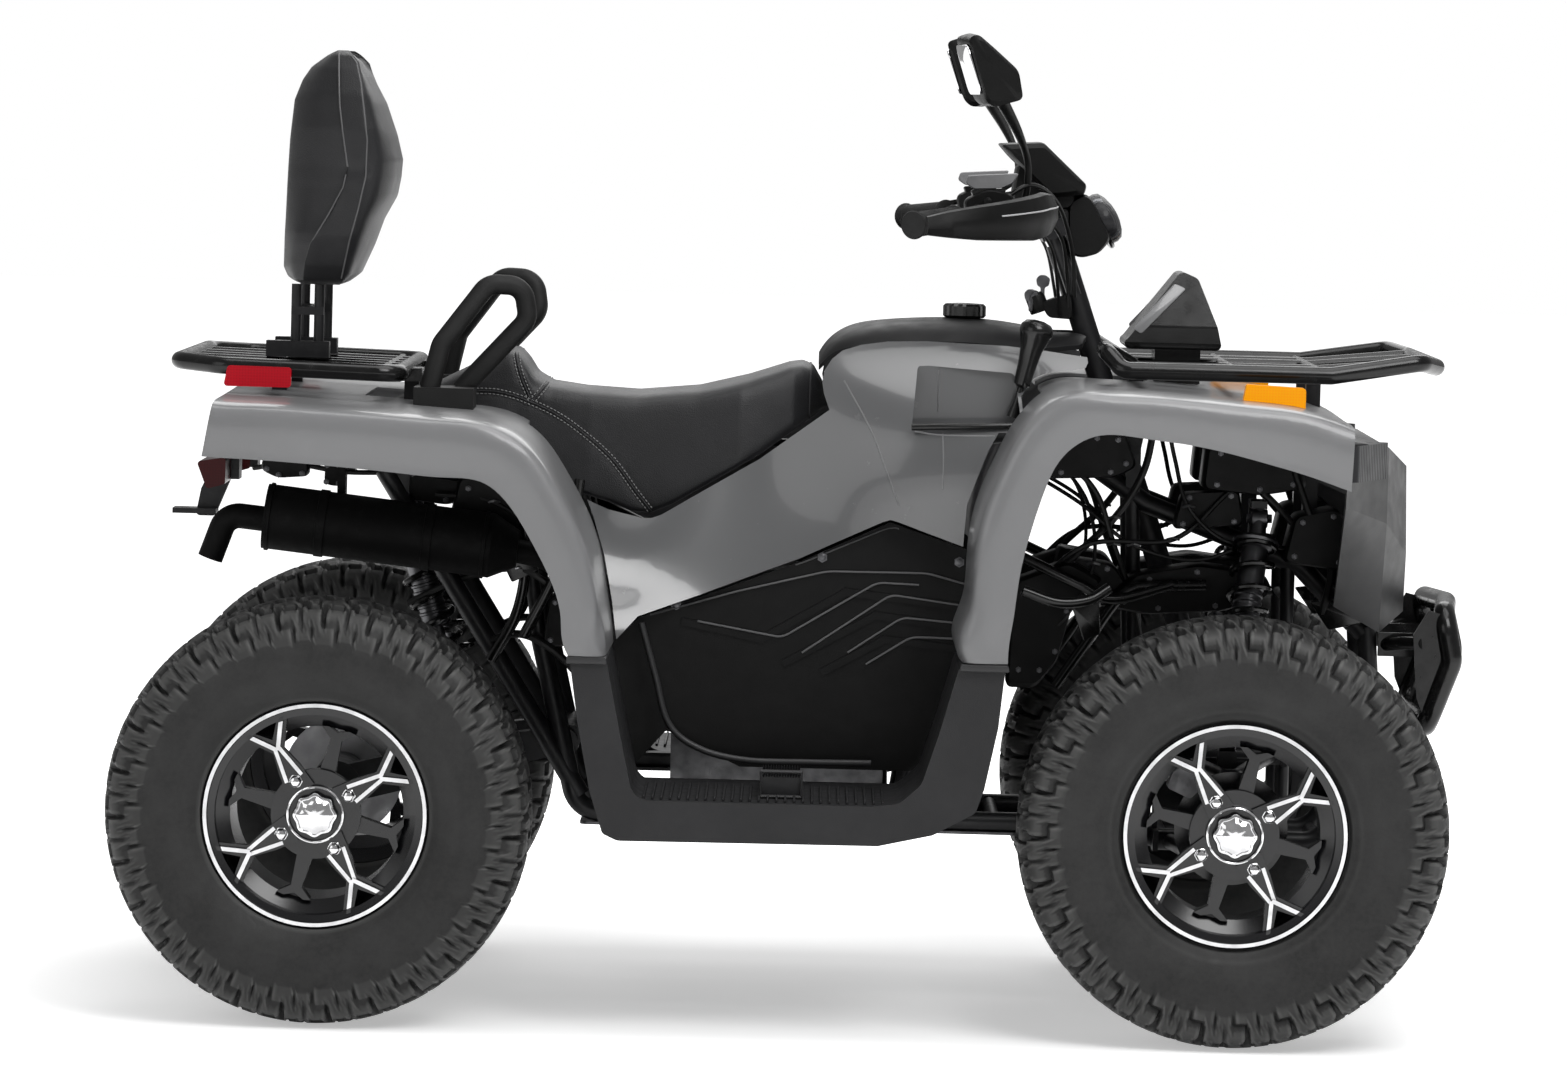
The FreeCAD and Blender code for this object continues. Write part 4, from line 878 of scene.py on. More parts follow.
@dataclass(frozen=True)
class LampLens:
    """A clear lens over a fluted silver bowl."""

    name: str = "lamp_lens"
    flutes: float = 40.0
    groove: Colour = (0.1, 0.105, 0.115)
    silver: Colour = (0.6, 0.61, 0.64)
    # The colour of the painted shade at the lens's sides and slants.
    dark: Colour = (0.02, 0.02, 0.022)
    shade_sideways_from: float = 0.6

    def make(self, fx: Effects) -> bpy.types.Material:
        """Upright flutes that go from grey to silver under a clear coat, with painted shade on the faces that look
        sideways and on those seen at a slant.

        Args:
            fx: the effects that finishes share.

        Returns:
            The finished material.
        """
        g = Graph(self.name)
        flute = g.node("ShaderNodeTexWave", wave_type="BANDS", bands_direction="Y")
        g.feed(flute.inputs["Vector"], g.place)
        g.feed(flute.inputs["Scale"], self.flutes)
        # Painted shade: darker where the lens is seen at a slant and where it faces sideways.
        view_slant_shade = g.span(g.node("ShaderNodeLayerWeight").outputs["Facing"], 0.35, 0.6)
        away = g.math("MAXIMUM", g.sideways(self.shade_sideways_from), view_slant_shade)
        bowl = g.mix(flute.outputs["Fac"], self.groove, self.silver)
        g.set(Base_Color=g.mix(away, bowl, self.dark), Metallic=g.span(away, 0, 1, 0.6, 0.0))
        haze = g.span(g.effect(fx.drift, Scale=30.0), 0, 1, 0.1, 0.2)
        g.set(Roughness=g.math("ADD", haze, g.math("MULTIPLY", away, 0.3)), Coat_Roughness=0.02)
        g.set(Specular_IOR_Level=g.span(away, 0, 1, 0.5, 0.15), Coat_Weight=g.span(away, 0, 1, 1.0, 0.12))
        g.bump(flute.outputs["Fac"], 0.3, 0.002)
        return g.material


class Palette:
    """Every finish on the quad bike."""

    def __init__(self) -> None:
        """Makes each finish once, with the shared effects."""
        fx = Effects()
        grey, light = (0.108, 0.109, 0.112), (0.178, 0.179, 0.183)
        self.paint = Paint("side_panel_paint", grey, rough=0.26, coat=0.6).make(fx)
        self.flare = Paint("mudguard_paint", light, rough=0.36, coat=0.35).make(fx)
        # A pale grey used for a painted highlight along the hand guards.
        self.pale = Paint("painted_highlight_line", (0.42, 0.42, 0.43), rough=0.35, coat=0.3).make(fx)
        self.frame_black = Coated("frame_coating", (0.006, 0.006, 0.007), rough=0.42).make(fx)
        self.rack_black = Coated("carrier_coating", (0.005, 0.005, 0.005), rough=0.2, shine=0.35, film=0.03).make(fx)
        self.exhaust = Coated("heat_paint", (0.003, 0.003, 0.003), rough=0.6, shine=0.12).make(fx)
        self.gloss_black = Moulded("gloss_trim", (0.006, 0.006, 0.006),
                                   rough=0.2, grain=900.0, depth=0.05, dust=0.15, shine=0.4).make(fx)
        self.tank_black = Moulded("tank_trim", (0.009, 0.009, 0.0095),
                                  rough=0.48, grain=900.0, depth=0.12, dust=0.2, shine=0.15).make(fx)
        self.moulded = Moulded("moulded_black", (0.004, 0.004, 0.004),
                               rough=0.44, grain=850.0, depth=0.3, dust=0.3, shine=0.15).make(fx)
        self.guard = Moulded("footwell_black", (0.016, 0.016, 0.017), rough=0.5, grain=700.0, depth=0.35).make(fx)
        self.dark_panel = Moulded("dark_panel", (0.03, 0.03, 0.031), rough=0.4, grain=700.0, depth=0.2).make(fx)
        self.pale_plastic = Moulded("pale_lid", (0.2, 0.2, 0.205), rough=0.45, grain=800.0, depth=0.2).make(fx)
        self.rubber = Moulded("grip_rubber", (0.008, 0.008, 0.008), rough=0.6, grain=650.0, depth=0.45).make(fx)
        self.hose = Moulded("hose_rubber", (0.006, 0.006, 0.006), rough=0.45, grain=900.0, depth=0.2).make(fx)
        self.thread = Moulded("seam_thread", (0.2, 0.2, 0.2), rough=0.7, grain=1500.0, depth=0.4, dust=0.2).make(fx)
        # Piping on the backrest's welts; on the engine covers' edge lines the same light grey is a painted highlight.
        self.piping = Moulded("seam_piping_and_edge_highlight", (0.11, 0.11, 0.112),
                              rough=0.5, grain=900.0, depth=0.3, dust=0.2).make(fx)
        self.vinyl = Vinyl("seat_vinyl", (0.008, 0.008, 0.009)).make(fx)
        self.tyre = TyreRubber().make(fx)
        self.steel = Metal("plain_steel", (0.4, 0.4, 0.41), rough=0.34).make(fx)
        self.dark_steel = Metal("dark_steel", (0.11, 0.11, 0.115), rough=0.4).make(fx)
        self.chrome = Metal("bright_chrome", (0.82, 0.82, 0.83), rough=0.1).make(fx)
        self.mirror = Metal("mirror_glass", (0.9, 0.9, 0.91), rough=0.03, grain=40.0, depth=0.01).make(fx)
        self.cast = Metal("cast_alloy", (0.16, 0.16, 0.165), rough=0.5, grain=420.0, depth=0.45).make(fx)
        self.wheel = CastWheel().make(fx)
        self.amber = Reflector("reflector_amber", (0.9, 0.33, 0.0), painted_glow=0.3).make(fx)
        self.red = Reflector("reflector_red", (0.42, 0.001, 0.01), painted_glow=0.14).make(fx)
        self.tail_red = Reflector("tail_lamp_red", (0.05, 0.002, 0.003), painted_glow=0.0).make(fx)
        self.lens = LampLens().make(fx)


@dataclass
class Studio:
    """The floor, the soft lights and the camera at the photograph's viewpoint."""

    camera_place: Point = (-0.0003, -10.5386, 1.3617)
    pitch_deg: float = 3.576
    yaw_deg: float = -0.167
    roll_deg: float = 1.489
    lens_mm: float = 157.35
    floor_reach: float = 40.0
    floor_colour: Colour = (0.86, 0.86, 0.86)
    floor_fade: tuple = (0.9, 2.0, 0.42, 0.97)
    light_from_all_round: float = 0.3
    aim: Point = (0.0, 0.0, 0.6)
    lamps: tuple = (("key", (2.0, -3.8, 4.6), 2.6, 165.0), ("fill", (-3.5, -4.0, 2.5), 3.0, 34.0),
                    ("back", (0.5, 4.5, 3.8), 4.0, 90.0), ("top", (0.6, -0.6, 5.2), 3.6, 125.0))

    def build(self) -> None:
        """Adds everything that isn't the quad bike."""
        self.add_camera()
        self.add_floor()
        self.add_world()
        self.add_lamps()

    def add_camera(self) -> None:
        """Aims the camera by its yaw and pitch, then rolls it about its own line of sight."""
        yaw, pitch, roll = (math.radians(a) for a in (self.yaw_deg, self.pitch_deg, self.roll_deg))
        forward = Vector((math.sin(yaw) * math.cos(pitch), math.cos(yaw) * math.cos(pitch), -math.sin(pitch)))
        level = forward.cross(Vector((0, 0, 1))).normalized()
        upright = level.cross(forward)
        right = level * math.cos(roll) + upright * math.sin(roll)
        up = upright * math.cos(roll) - level * math.sin(roll)
        data = bpy.data.cameras.new("photo_view")
        data.lens, data.sensor_width, data.clip_end = self.lens_mm, 36.0, 100.0
        camera = bpy.data.objects.new("photo_view", data)
        turn = Matrix((right, up, -forward)).transposed().to_4x4()
        camera.matrix_world = Matrix.Translation(Vector(self.camera_place)) @ turn
        bpy.context.scene.collection.objects.link(camera)
        bpy.context.scene.camera = camera

    def add_floor(self) -> None:
        """A pale floor that keeps the shadow near the wheels and fades to white far away."""
        reach = self.floor_reach
        mesh = bpy.data.meshes.new("floor")
        mesh.from_pydata([(-reach, -reach, 0), (reach, -reach, 0), (reach, reach, 0), (-reach, reach, 0)], [],
                         [(0, 1, 2, 3)])
        floor = bpy.data.objects.new("floor", mesh)
        bpy.context.scene.collection.objects.link(floor)
        g = Graph("pale_floor")
        far = g.node("ShaderNodeVectorMath", operation="LENGTH")
        g.feed(far.inputs[0], g.place)
        fade = g.span(far.outputs["Value"], *self.floor_fade)
        g.set(Base_Color=self.floor_colour, Roughness=0.8, Specular_IOR_Level=0.2, Emission_Color=(1.0, 1.0, 1.0))
        g.set(Emission_Strength=g.math("MULTIPLY", self.seen_by_eye(g), fade))
        mesh.materials.append(g.material)

    @staticmethod
    def seen_by_eye(g: Graph) -> Socket:
        """One for rays from the camera, a mirror or glass, and zero for the light on the object.

        Args:
            g: the material's graph.

        Returns:
            One or zero, by ray.
        """
        path = g.node("ShaderNodeLightPath")
        total = g.math("ADD", path.outputs["Is Camera Ray"], path.outputs["Is Glossy Ray"])
        return g.math("MINIMUM", g.math("ADD", total, path.outputs["Is Transmission Ray"]), 1.0)

    def add_world(self) -> None:
        """White to the eye, and a soft even light on the object."""
        world = bpy.data.worlds.new("studio")
        world.use_nodes = True
        nodes, links = world.node_tree.nodes, world.node_tree.links
        background = nodes["Background"]
        background.inputs["Color"].default_value = (1.0, 1.0, 1.0, 1.0)
        path = nodes.new("ShaderNodeLightPath")
        strength = nodes.new("ShaderNodeMapRange")
        links.new(path.outputs["Is Camera Ray"], strength.inputs["Value"])
        strength.inputs["To Min"].default_value = self.light_from_all_round
        strength.inputs["To Max"].default_value = 1.0
        links.new(strength.outputs["Result"], background.inputs["Strength"])
        bpy.context.scene.world = world

    def add_lamps(self) -> None:
        """Large soft panels round the object."""
        for name, place, size, power in self.lamps:
            data = bpy.data.lights.new(name, "AREA")
            data.energy, data.size = power, size
            lamp = bpy.data.objects.new(name, data)
            lamp.location = place
            lamp.rotation_euler = (Vector(self.aim) - Vector(place)).to_track_quat("-Z", "Y").to_euler()
            bpy.context.scene.collection.objects.link(lamp)


@dataclass
class Tyres:
    """The four tyres with their block tread, worked out in millimetres."""

    palette: Palette
    pitches: int = 27
    steps_per_pitch: int = 22
    rows_across: int = 78
    lug_height: float = 12.5
    front_size: tuple = (319.0, 102.5, 75.0)
    rear_size: tuple = (315.0, 127.5, 99.0)
    sharp_deg: float = 50.0
    pitch_radius: float = 300.0
    lug_edge: float = 2.6
    sipe_depth: float = 4.5

    def build(self) -> None:
        """Makes a tyre for each front wheel and the rear pair in one piece."""
        front = self.tyre(*self.front_size)
        for side in Side:
            name = side.name.lower()
            make_piece(f"tyre_tread_front_{name}", self.placed(front, FRONT_AXLE, side), self.palette.tyre,
                       f"front_wheel_{name}", (f"tyre_front_{name}",), self.sharp_deg)
        rear = self.tyre(*self.rear_size)
        pair = merged([self.placed(rear, REAR_AXLE, side) for side in Side])
        make_piece("tyre_treads_rear", pair, self.palette.tyre, "rear_wheels", ("tyres_rear",),
                   self.sharp_deg)

    @staticmethod
    def placed(shape: Shape, axle: Point, side: Side) -> Shape:
        """A tyre moved to its axle, its outer side out."""
        out = shape if side is Side.RIGHT else shape.mirrored()
        return Shape(out.points * MM + np.array([axle[0], side.value * axle[1], axle[2]]), out.faces)

    def tyre(self, outside: float, half: float, bead_y: float) -> Shape:
        """One tyre: a closed profile carried round the axle, its tread lifted along the normal by the block pattern.

        Args:
            outside: the radius over the blocks.
            half: half the tyre's width.
            bead_y: where its bead sits along the axle.

        Returns:
            The tyre about the origin, in millimetres.
        """
        low = outside - self.lug_height
        outer = smooth_line([(low, 0.0), (low - 1, half * 0.35), (low - 6, half * 0.62), (low - 17, half * 0.84),
                             (low - 34, half * 0.955), (outside - 66, half - 1.5), (outside - 84, half - 0.5),
                             (outside - 108, half - 3), (outside - 130, half - 11), (outside - 146, bead_y + 6),
                             (168.5, bead_y - 0.3), (160, bead_y - 2), (154.4, bead_y - 6)], self.rows_across // 2)
        lengths = np.concatenate([[0], np.cumsum(np.linalg.norm(np.diff(outer, axis=0), axis=1))])
        lengths = lengths * 150.0 / np.interp(-(outside - 63.0), -outer[:, 0], lengths)
        count = self.pitches * self.steps_per_pitch
        turn = np.arange(count) / count * 2 * np.pi
        along = (np.arange(count) / self.steps_per_pitch)[:, None]
        tangent = unit(np.gradient(outer, axis=0))
        normal = np.stack([tangent[:, 1], -tangent[:, 0]], -1)
        halves = []
        for sign in (-1.0, 1.0):
            lift = self.block_height(along + (0.5 if sign > 0 else 0.0), lengths[None, :])
            r = outer[None, :, 0] + lift * normal[None, :, 0]
            y = (outer[None, :, 1] + lift * normal[None, :, 1]) * sign
            halves.append(np.stack([r, y], -1))
        inner = smooth_line([(156.0, bead_y - 16), (200, half - 16), (outside - 84, half - 14),
                             (outside - 40, half * 0.6), (outside - 34, 0.0)], 10)
        inside = np.broadcast_to(np.vstack([inner * [1, -1], inner[-2::-1]]), (count, 19, 2))
        section = np.concatenate([halves[1][:, ::-1], halves[0][:, 1:], inside], 1)
        x, z = section[..., 0] * np.sin(turn)[:, None], section[..., 0] * np.cos(turn)[:, None]
        points = np.stack([x, section[..., 1], z], -1)
        return Shape(points.reshape(-1, 3), [grid_quads(count, section.shape[1], True, True)]).outward()

    def block_height(self, along: Array, across: Array) -> Array:
        """How far the tread stands out: full height on a block, nothing in a groove, a soft edge between.

        Args:
            along: position round the tyre, in pitches.
            across: distance from the crown over the profile, in millimetres.

        Returns:
            The height in millimetres.
        """
        pitch_mm = 2 * math.pi * self.pitch_radius / self.pitches
        u = np.mod(along, 1.0)
        t = across + 0 * u

        def beyond(centre: Array | float, width: Array | float) -> Array:
            """Distance past the edge of a groove that runs across the tread."""
            return np.abs(np.mod(u - centre + 0.5, 1.0) - 0.5) * pitch_mm - width / 2

        row = [t < 38, t < 86, t < 124]
        centre = np.select(row, [t / 190, 0.5 + (t - 38) / 160, 0.12 + 0 * t], 0.44)
        main = beyond(centre, np.interp(t, [0, 90, 112, 150], [9.0, 8.0, 5.5, 3.6]))
        step = np.maximum(np.abs(t - 124) - 2.6, np.maximum(0.12 - u, u - 0.44) * pitch_mm)
        wave = 3.0 * np.sign(np.sin(4 * np.pi * u))
        rings = np.minimum(np.abs(t - 36 - wave) - 3.5, np.abs(t - 84 + wave) - 3.5)
        end = 150 - 3 * (np.mod(u - 0.44, 1.0) < 0.45) - t
        solid = np.minimum(np.minimum(main, np.where(t > 86, step, 99.0)), np.minimum(rings, end))
        height = np.clip(solid / self.lug_edge + 0.5, 0, 1) * self.lug_height
        height = height * np.interp(across, [0, 108, 126, 150], [1.0, 0.95, 0.55, 0.3])
        sipe = beyond(np.select(row + [t < 140], [0.5 + 0 * t, 0 * t, 0.62 + 0 * t, 0.86 + 0 * t], 0.86), 3.6)
        height = height - np.clip(0.5 - sipe / 2.0, 0, 1) * self.sipe_depth * (height > 5)
        lines = np.clip(1 - np.abs(t - 155) / 2.4, 0, 1) * 1.6 + np.clip(1 - np.abs(t - 238) / 3.0, 0, 1) * 1.2
        return height * (t < 152) + lines


@dataclass
class Hubs:
    """Chrome hub caps and wheel nuts."""

    palette: Palette
    front_face: float = 0.072
    rear_face: float = 0.096
    nut_circle: float = 0.057
    spoke_deg: float = 31.0
    ring_radius: float = 0.0405
    cap: tuple = ((0.032, -0.006), (0.032, 0.004), (0.0305, 0.0085), (0.0275, 0.0092), (0.0262, 0.0082),
                  (0.0255, 0.0086), (0.022, 0.0115), (0.016, 0.0138), (0.006, 0.0143))
    nut: tuple = ((0.0095, 0.0), (0.0095, 0.004), (0.0085, 0.0045), (0.0085, 0.012), (0.006, 0.0165), (0.002, 0.018))

    def build(self) -> None:
        """Dresses the outer face of every wheel."""
        for side in Side:
            name = side.name.lower()
            make_piece(f"hub_cap_front_{name}", self.hub(FRONT_AXLE, self.front_face, side), self.palette.chrome,
                       f"front_wheel_{name}")
        rear = merged([self.hub(REAR_AXLE, self.rear_face, side) for side in Side])
        make_piece("hub_caps_rear", rear, self.palette.chrome, "rear_wheels")

    def hub(self, axle: Point, face: float, side: Side) -> Shape:
        """A lobed cap over the hub's hexagon, a thin ring round it and four capped nuts between the spokes' rails.

        Args:
            axle: the wheel's middle on the left.
            face: how far out the hub's face stands from it.
            side: the side of the quad bike.

        Returns:
            The cap, the ring and the nuts.
        """
        s = side.value
        axis, base = (0.0, float(s), 0.0), s * (axle[1] + face)
        pieces = [turned(self.cap, (axle[0], base, axle[2]), axis, 64, 0.05, 8)]
        turn = np.linspace(0, 2 * np.pi, 64, endpoint=False)
        ring = np.stack([axle[0] + self.ring_radius * np.cos(turn), np.full(64, base - s * 0.0035),
                         axle[2] + self.ring_radius * np.sin(turn)], -1)
        pieces.append(tube(ring, 0.0022, 8, True))
        for k in range(4):
            angle = math.radians(self.spoke_deg + 90 * k)
            at = (axle[0] + self.nut_circle * math.cos(angle), base - s * 0.006,
                  axle[2] + self.nut_circle * math.sin(angle))
            pieces.append(turned(self.nut, at, axis, 24, 0.05, 6))
        return merged(pieces)


@dataclass
class Assembly:
    """A sub-assembly whose pieces all ride on one body."""

    palette: Palette
    body = "chassis"

    def add(self, name: str, shape: Shape, material: bpy.types.Material, slot: str = "trim_black",
            replaced: tuple[str, ...] = (), sharp_deg: float = 38.0) -> bpy.types.Object:
        """Makes one piece that rides on the body."""
        return make_piece(name, shape, material, self.body, replaced, sharp_deg)

    def pair(self, name: str, shape: Shape, *rest: object) -> bpy.types.Object:
        """Makes a right-hand shape and its left-hand twin as one piece."""
        return self.add(name, both_sides(shape), *rest)


@dataclass
class Seat(Assembly):
    """The long saddle: a crowned pad with a raised passenger end, sewn seams and stitches. Millimetres."""

    top: tuple = ((-652, 893), (-640, 904), (-567, 934), (-500, 968), (-476, 980), (-456, 988), (-443, 988),
                  (-430, 974), (-416, 952), (-392, 938), (-340, 931), (-259, 927), (-166, 936), (-90, 955),
                  (-28, 976), (-8, 979), (8, 973), (22, 950), (31, 920))
    bottom: tuple = ((-652, 888), (-497, 876), (-420, 844), (-373, 794), (-335, 774), (-296, 763), (-262, 750),
                     (-235, 748), (-200, 763), (-70, 841), (31, 916))
    width: tuple = ((-652, 112), (-630, 136), (-440, 138), (-330, 158), (-100, 158), (-20, 132), (20, 100), (31, 86))
    long_seam: tuple = ((-520, 926), (-468, 925), (-419, 911), (-363, 884), (-299, 834), (-256, 780), (-233, 752))
    hump_seam: tuple = ((-446, 985), (-436, 950), (-419, 912))
    notch_seam: tuple = ((-419, 912), (-404, 930), (-396, 940))
    columns: int = 150
    back_end: float = -651.0
    length: float = 681.5
    stitch_gap: float = 4.0
    welt_radius: float = 0.0013
    nose_welt_radius: float = 0.0016
    seam_sink: float = 2.6
    seam_width: float = 5.0
    pull_depth: float = 0.7
    pull_width: float = 40.0

    def surface(self, x: Array) -> Array:
        """Full rings of the pad at each x, eased down from the crown over the side to the underside.

        Args:
            x: stations along the seat.

        Returns:
            Points as (x, point round the ring, xyz).
        """
        top, low, half = (np.interp(x, *np.array(line).T) for line in (self.top, self.bottom, self.width))
        tall = top - low
        ease = np.clip(tall / 95.0, 0.02, 1.0)
        rows = [(0.0, top + 3.0 * ease), (half * 0.4, top + 1.5 * ease), (half * 0.68, top - 2.0 * ease),
                (half * 0.83, top - 10.0 * ease), (half * 0.91, top - 24.0 * ease), (half * 0.955, top - tall * 0.45),
                (half * 0.985, low + tall * 0.28), (half, low + 12.0 * ease), (half * 0.985, low + 3.0 * ease),
                (half * 0.93, low), (half * 0.5, low + 3.0 * ease), (0.0, low + 4.0 * ease)]
        control = np.stack([np.stack([np.broadcast_to(y, x.shape), z], -1) for y, z in rows], 1)
        fine = np.stack([smooth_line(ring, 44) for ring in control])
        ring = np.concatenate([fine, fine[:, -2:0:-1] * [-1, 1]], 1)
        return np.stack([np.broadcast_to(x[:, None], ring.shape[:2]), -ring[..., 0], ring[..., 1]], -1)

    def on_side(self, line: Array, lift: float) -> tuple[Array, Array]:
        """Carries a side-view line onto the right side of the pad.

        Args:
            line: points as (x, z).
            lift: how far above the surface.

        Returns:
            The points in space and the surface's normals there.
        """
        rings = self.surface(line[:, 0])[:, 6:38]
        nearest = np.abs(rings[..., 2] - line[:, 1:2]).argmin(1)
        k = np.arange(len(line))
        here = rings[k, nearest]
        slope = unit(rings[k, np.maximum(nearest - 1, 0)] - rings[k, np.minimum(nearest + 1, 31)])
        normal = unit(np.cross(slope, np.array([[1.0, 0, 0]])))
        normal = normal * -np.sign(normal[:, 1:2] + 1e-9)
        steep = np.where(np.abs(slope[:, 2]) < 0.2, 9, slope[:, 2])
        across = here[:, 1] + (line[:, 1] - here[:, 2]) * slope[:, 1] / steep
        return np.stack([line[:, 0], across, line[:, 1]], -1) + normal * lift, normal

    def build(self) -> None:
        """Makes the pad, its welts and its stitches."""
        even = np.linspace(0, 1, self.columns)
        x = self.back_end + (0.6 * even + 0.2 * (1 - np.cos(np.pi * even))) * self.length
        pad = self.creased(stacked_rings(self.surface(x)))
        piece = self.add("seat_pad", pad.scaled(), self.palette.vinyl, "seat_vinyl", ("seat",), 60.0)
        welts, threads = [], []
        for line, count in ((self.long_seam, 90), (self.hump_seam, 30), (self.notch_seam, 20)):
            fine = smooth_line(line, count)
            welts.append(tube(self.on_side(fine, 0.4)[0] * MM, self.welt_radius, 8))
            slope = unit(np.gradient(fine, axis=0))
            for offset in (-self.stitch_gap, self.stitch_gap):
                path, normal = self.on_side(fine + np.stack([-slope[:, 1], slope[:, 0]], -1) * offset, 0.5)
                threads.append(stitch_row(path * MM, normal))
        welts.append(tube(self.surface(np.array([4.0]))[0, 4:40] * MM, self.nose_welt_radius, 8))
        self.pair("seat_seams", merged(welts), self.palette.vinyl, "seat_vinyl")
        self.pair("seat_stitches", merged(threads), self.palette.thread, "seat_vinyl")

    def creased(self, pad: Shape) -> Shape:
        """Sinks the pad a little along its seams, and adds the shallow pulls of stretched vinyl beside them.

        Args:
            pad: the smooth pad, in millimetres.

        Returns:
            The creased pad.
        """
        p = pad.points.copy()
        seams = np.vstack([smooth_line(line, 60) for line in (self.long_seam, self.hump_seam, self.notch_seam)])
        gap = np.min(np.hypot(p[:, None, 0] - seams[None, :, 0], p[:, None, 2] - seams[None, :, 1]), 1)
        side = np.abs(p[:, 1]) > 60
        sink = self.seam_sink * np.exp(-((gap / self.seam_width) ** 2)) * side
        wave = np.sin(p[:, 0] / 17.0 + p[:, 2] / 23.0)
        pull = self.pull_depth * wave * np.exp(-((gap / self.pull_width) ** 2)) * side
        p[:, 1] -= np.sign(p[:, 1]) * (sink + pull)
        return Shape(p, pad.faces)


@dataclass
class Backrest(Assembly):
    """The passenger's backrest pad: a shell behind, a bolster in front and piping between them. Millimetres."""

    back: tuple = ((1081, -789), (1092, -801), (1106, -807), (1150, -806), (1221, -803), (1300, -800), (1361, -795),
                   (1392, -784), (1412, -771), (1430, -748), (1438, -736))
    first: tuple = ((1081, -770), (1113, -767), (1144, -758), (1190, -731), (1231, -710), (1262, -704), (1352, -718),
                    (1420, -724), (1438, -726))
    second: tuple = ((1081, -716), (1092, -712), (1150, -699), (1200, -686), (1247, -676), (1303, -675), (1352, -682),
                     (1388, -688), (1420, -697), (1438, -714))
    front: tuple = ((1081, -712), (1098, -692), (1140, -674), (1181, -660), (1217, -641), (1245, -636), (1273, -634),
                    (1310, -643), (1359, -660), (1400, -682), (1422, -699), (1433, -713), (1438, -722))
    half: tuple = ((1081, 118), (1088, 134), (1110, 150), (1160, 172), (1240, 177), (1320, 175), (1372, 160),
                   (1410, 134), (1430, 112), (1438, 88))
    levels: int = 90
    foot: float = 1081.0
    rise: float = 357.0
    fold_height: float = 1256.0
    hollow_place: tuple = (-725.0, 1180.0)

    def control(self, z: Array) -> Array:
        """Half outlines in plan at each height: back, first welt, second welt and front, as (height, point, xy).

        Args:
            z: the heights.

        Returns:
            Points as (height, point, xy).
        """
        b, p, q, f, w = (np.interp(z, *np.array(line).T) for line in (self.back, self.first, self.second, self.front,
                                                                     self.half))
        rows = [(b, 0 * w), (b + 1, 0.4 * w), (b + 7, 0.62 * w), (b + 0.45 * (p - b), 0.83 * w), (p - 3, 0.955 * w),
                (p, 0.968 * w), (p + 4, 0.985 * w), (q - 4, w), (q, 0.995 * w), (q + 4, 0.98 * w),
                (q + 0.55 * (f - q), 0.9 * w), (f - 5, 0.68 * w), (f - 1, 0.4 * w), (f, 0 * w)]
        return np.stack([np.stack([x, y], -1) for x, y in rows], 1)

    def welt(self, low: float, high: float, row: int) -> Array:
        """The line of one control point up the pad's side, a little proud of it.

        Args:
            low: the height where it starts.
            high: the height where it ends.
            row: which control point it follows.

        Returns:
            Points in metres.
        """
        z = np.linspace(low, high, 90)
        line = self.control(z)[:, row]
        return np.stack([line[:, 0], line[:, 1] + 0.4, z], -1) * MM

    def build(self) -> None:
        """Makes the pad with its fold and hollow, its welts and their stitches."""
        even = np.linspace(0, 1, self.levels)
        z = self.foot + (0.45 * even + 0.275 * (1 - np.cos(np.pi * even))) * self.rise
        fine = np.stack([smooth_line(ring, 56) for ring in self.control(z)])
        middle = fine.mean(1, keepdims=True) * [1, 0]
        below, above = z - self.foot, self.foot + self.rise - z
        shrink = 1 - 0.16 * np.exp(-(below / 3.0)) - 0.22 * np.exp(-(above / 3.0))
        fine = middle + (fine - middle) * shrink[:, None, None]
        ring = np.concatenate([fine, fine[:, -2:0:-1] * [1, -1]], 1)
        pad = stacked_rings(np.stack([ring[..., 0], ring[..., 1], np.broadcast_to(z[:, None], ring.shape[:2])], -1))
        p = pad.points
        between = (p[:, 0] > -712) & (p[:, 0] < -672) & (np.abs(p[:, 1]) > 120)
        fold = 4.0 * np.exp(-(((p[:, 2] - self.fold_height) / 9.0) ** 2)) * between
        x, height = self.hollow_place
        hollow = 5.0 * np.exp(-(((p[:, 2] - height) / 45.0) ** 2) - ((p[:, 0] - x) / 22.0) ** 2)
        p[:, 1] -= np.sign(p[:, 1]) * (fold + hollow * np.clip((np.abs(p[:, 1]) - 110) / 30, 0, 1))
        piece = self.add("backrest_pad", pad.scaled(), self.palette.vinyl, "seat_vinyl", ("backrest",), 42.0)
        first, second, low = self.welt(1262, 1432, 5), self.welt(1092, 1430, 8), self.welt(1104, 1250, 5)
        welts = merged([tube(first, 0.0016, 8), tube(second, 0.0013, 8), tube(low, 0.0012, 8)])
        threads = merged([stitch_row(line, np.tile([0.0, 1.0, 0.0], (len(line), 1))) for line in (first, second)])
        self.pair("backrest_welts", welts, self.palette.piping, "seat_vinyl")
        self.pair("backrest_stitches", threads, self.palette.thread, "seat_vinyl")


